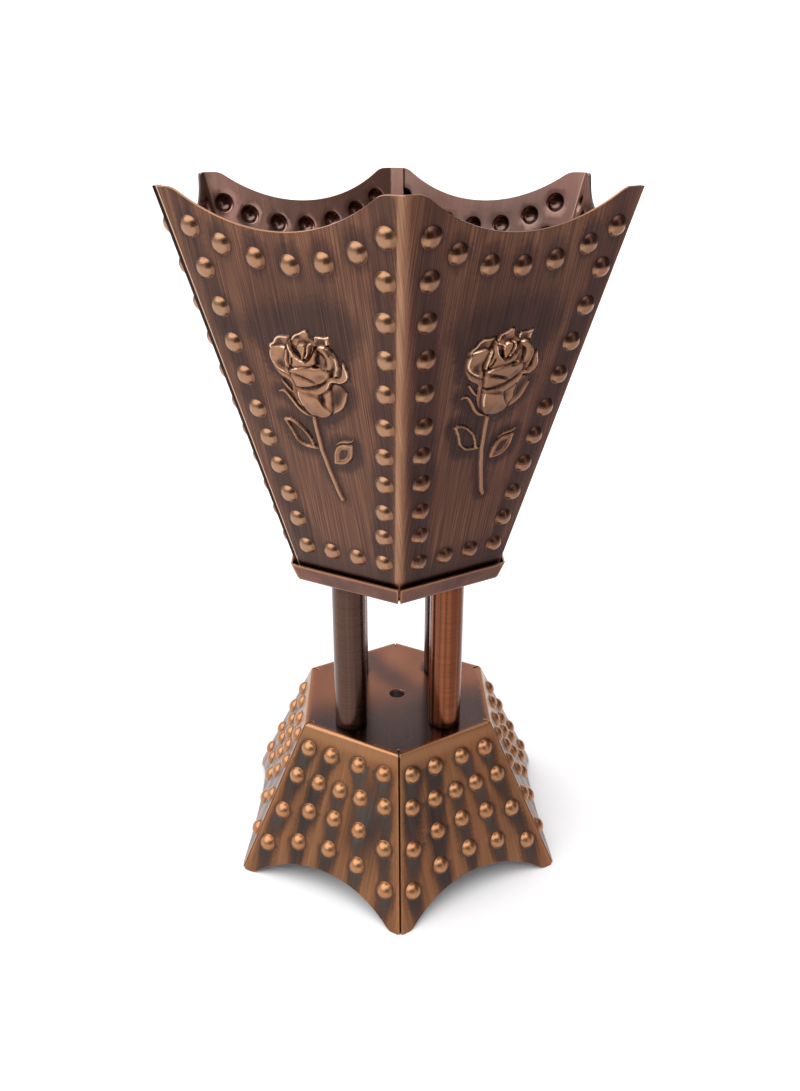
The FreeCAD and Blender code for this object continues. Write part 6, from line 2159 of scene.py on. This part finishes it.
def floor():
    """A pale sweep: flat under the burner, rising a little far behind it."""
    prof = [(y, 0.0) for y in np.linspace(-9.0, 2.4, 34)]
    for a in np.linspace(0, math.pi / 2.6, 20)[1:]:
        prof.append((2.4 + 1.2 * math.sin(a), 1.2 - 1.2 * math.cos(a)))
    xs = np.linspace(-5.0, 5.0, 17)
    v = [(x, y, z) for y, z in prof for x in xs]
    me = bpy.data.meshes.new("sweep")
    me.from_pydata(v, [], grid_faces(len(prof), len(xs)))
    me.polygons.foreach_set("use_smooth", np.ones(len(me.polygons), bool))
    ob = bpy.data.objects.new("sweep", me)
    bpy.context.scene.collection.objects.link(ob)
    k = Nodes("paper")
    n = k.noise(k.spot(0.02), 3.0, 0.5)
    col = k.ramp(n, [(0.3, (0.90, 0.90, 0.90)), (0.7, (0.93, 0.93, 0.93))])
    k.b.inputs["Specular IOR Level"].default_value = 0.2
    me.materials.append(k.done(0.0, Base_Color=col, Roughness=0.85))
    return ob


floor()


sun_data = bpy.data.lights.new("window_light", "SUN")
sun_data.energy = 2.8
sun_data.angle = math.radians(90)
sun = bpy.data.objects.new("window_light", sun_data)
sun.rotation_euler = Vector((0.35, 0.15, -1.0)).to_track_quat("-Z", "Y").to_euler()
bpy.context.scene.collection.objects.link(sun)


def flag(name, az0, az1, radius, z0, z1, tone):
    """A curved dark card that only shows in the metal, as the unlit side of
    a room would."""
    n = 24
    v = []
    for z in (z0, z1):
        for a in np.linspace(math.radians(az0), math.radians(az1), n):
            v.append((radius * math.cos(a), radius * math.sin(a), z))
    me = bpy.data.meshes.new(name)
    me.from_pydata(v, [], grid_faces(2, n))
    ob = bpy.data.objects.new(name, me)
    bpy.context.scene.collection.objects.link(ob)
    k = Nodes(name)
    grain = k.noise(k.spot(0.02), 2.0, 0.5)
    me.materials.append(k.done(0.0, Base_Color=k.ramp(grain, [(0.3, tone), (0.7, tuple(1.2 * c for c in tone))]), Roughness=0.9))
    ob.visible_camera = False
    ob.visible_diffuse = False
    ob.visible_shadow = False
    return ob


def low_flag(name, az0, az1, r0, r1, tone):
    """A grey card lying on the floor, seen by the metal only."""
    n = 24
    v = []
    for r in (r0, r1):
        for a in np.linspace(math.radians(az0), math.radians(az1), n):
            v.append((r * math.cos(a), r * math.sin(a), 0.0006))
    me = bpy.data.meshes.new(name)
    me.from_pydata(v, [], grid_faces(2, n))
    ob = bpy.data.objects.new(name, me)
    bpy.context.scene.collection.objects.link(ob)
    k = Nodes(name)
    grain = k.noise(k.spot(0.02), 2.0, 0.5)
    me.materials.append(k.done(0.0, Base_Color=k.ramp(grain, [(0.3, tone), (0.7, tuple(1.1 * c for c in tone))]), Roughness=0.9))
    ob.visible_camera = False
    ob.visible_diffuse = False
    ob.visible_shadow = False
    return ob


flag("flag_front", -113.0, -64.0, 0.40, 0.075, 0.50, (0.034, 0.026, 0.022))
flag("flag_right", -68.0, -48.0, 0.62, 0.08, 0.62, (0.090, 0.080, 0.084))
flag("flag_side", -37.0, 52.0, 0.66, 0.06, 0.90, (0.078, 0.062, 0.057))
low_flag("flag_low", -75.0, 30.0, 0.085, 0.62, (0.52, 0.495, 0.515))


def room():
    """World light by direction: bright low down and from the left, dim in
    front and to the right, like a room with one window."""
    w = bpy.data.worlds.new("room")
    bpy.context.scene.world = w
    w.use_nodes = True
    t = w.node_tree
    bg = t.nodes["Background"]
    tc = t.nodes.new("ShaderNodeTexCoord")
    sep = t.nodes.new("ShaderNodeSeparateXYZ")
    t.links.new(tc.outputs["Generated"], sep.inputs[0])

    def m(op, a, b=None, c=None, clamp=False):
        k = t.nodes.new("ShaderNodeMath")
        k.operation = op
        k.use_clamp = clamp
        for i, val in enumerate((a, b, c)):
            if val is None:
                continue
            if isinstance(val, (int, float)):
                k.inputs[i].default_value = val
            else:
                t.links.new(val, k.inputs[i])
        return k.outputs[0]

    def step(val, a, b, lo=0.0, hi=1.0):
        k = t.nodes.new("ShaderNodeMapRange")
        k.interpolation_type = "SMOOTHSTEP"
        for i, w_ in enumerate((a, b, lo, hi)):
            k.inputs[i + 1].default_value = w_
        t.links.new(val, k.inputs[0])
        return k.outputs[0]

    x, y, z = sep.outputs
    az = m("ARCTAN2", y, x)                     # -pi..pi, 0 to the right, -pi/2 to the front
    el = m("ARCSINE", z)
    d = math.radians

    def lobe(a0, a1, a2, a3):
        up = step(az, d(a0), d(a1))
        dn = step(az, d(a2), d(a3), 1.0, 0.0)
        return m("MULTIPLY", up, dn)

    # how much of the bright surroundings each heading has
    left = m("MAXIMUM", step(az, d(125), d(150)), step(az, d(-152), d(-128), 1.0, 0.0))
    back = lobe(50, 75, 120, 145)
    right = lobe(-12, 12, 50, 75)
    strip_ = lobe(-53, -49, -40, -36)
    front = lobe(-130, -120, -70, -60)
    low = step(el, d(5), d(13), 1.0, 0.0)
    top = step(el, d(27), d(44))
    v = m("MULTIPLY_ADD", m("MULTIPLY", left, step(el, d(12), d(20), 1.0, 0.94)), 0.52, 0.27)
    v = m("MULTIPLY_ADD", front, 0.33, v)
    v = m("MULTIPLY_ADD", back, 0.37, v)
    v = m("MULTIPLY_ADD", right, 0.32, v)
    v = m("MULTIPLY_ADD", m("MULTIPLY", strip_, m("MULTIPLY", step(el, d(2), d(6)), step(el, d(34), d(42), 1.0, 0.0))), 2.0, v)
    v = m("MAXIMUM", v, m("MULTIPLY", top, 0.72))
    v = m("MAXIMUM", v, m("MULTIPLY", low, 0.66))
    mix = t.nodes.new("ShaderNodeMix")
    mix.data_type = "RGBA"
    t.links.new(left, mix.inputs[0])
    mix.inputs[6].default_value = (0.99, 0.97, 0.995, 1)
    mix.inputs[7].default_value = (0.95, 0.98, 1.0, 1)
    t.links.new(mix.outputs[2], bg.inputs["Color"])
    t.links.new(v, bg.inputs["Strength"])


room()

# -------------------------------------------------------------- end
bpy.context.view_layer.update()
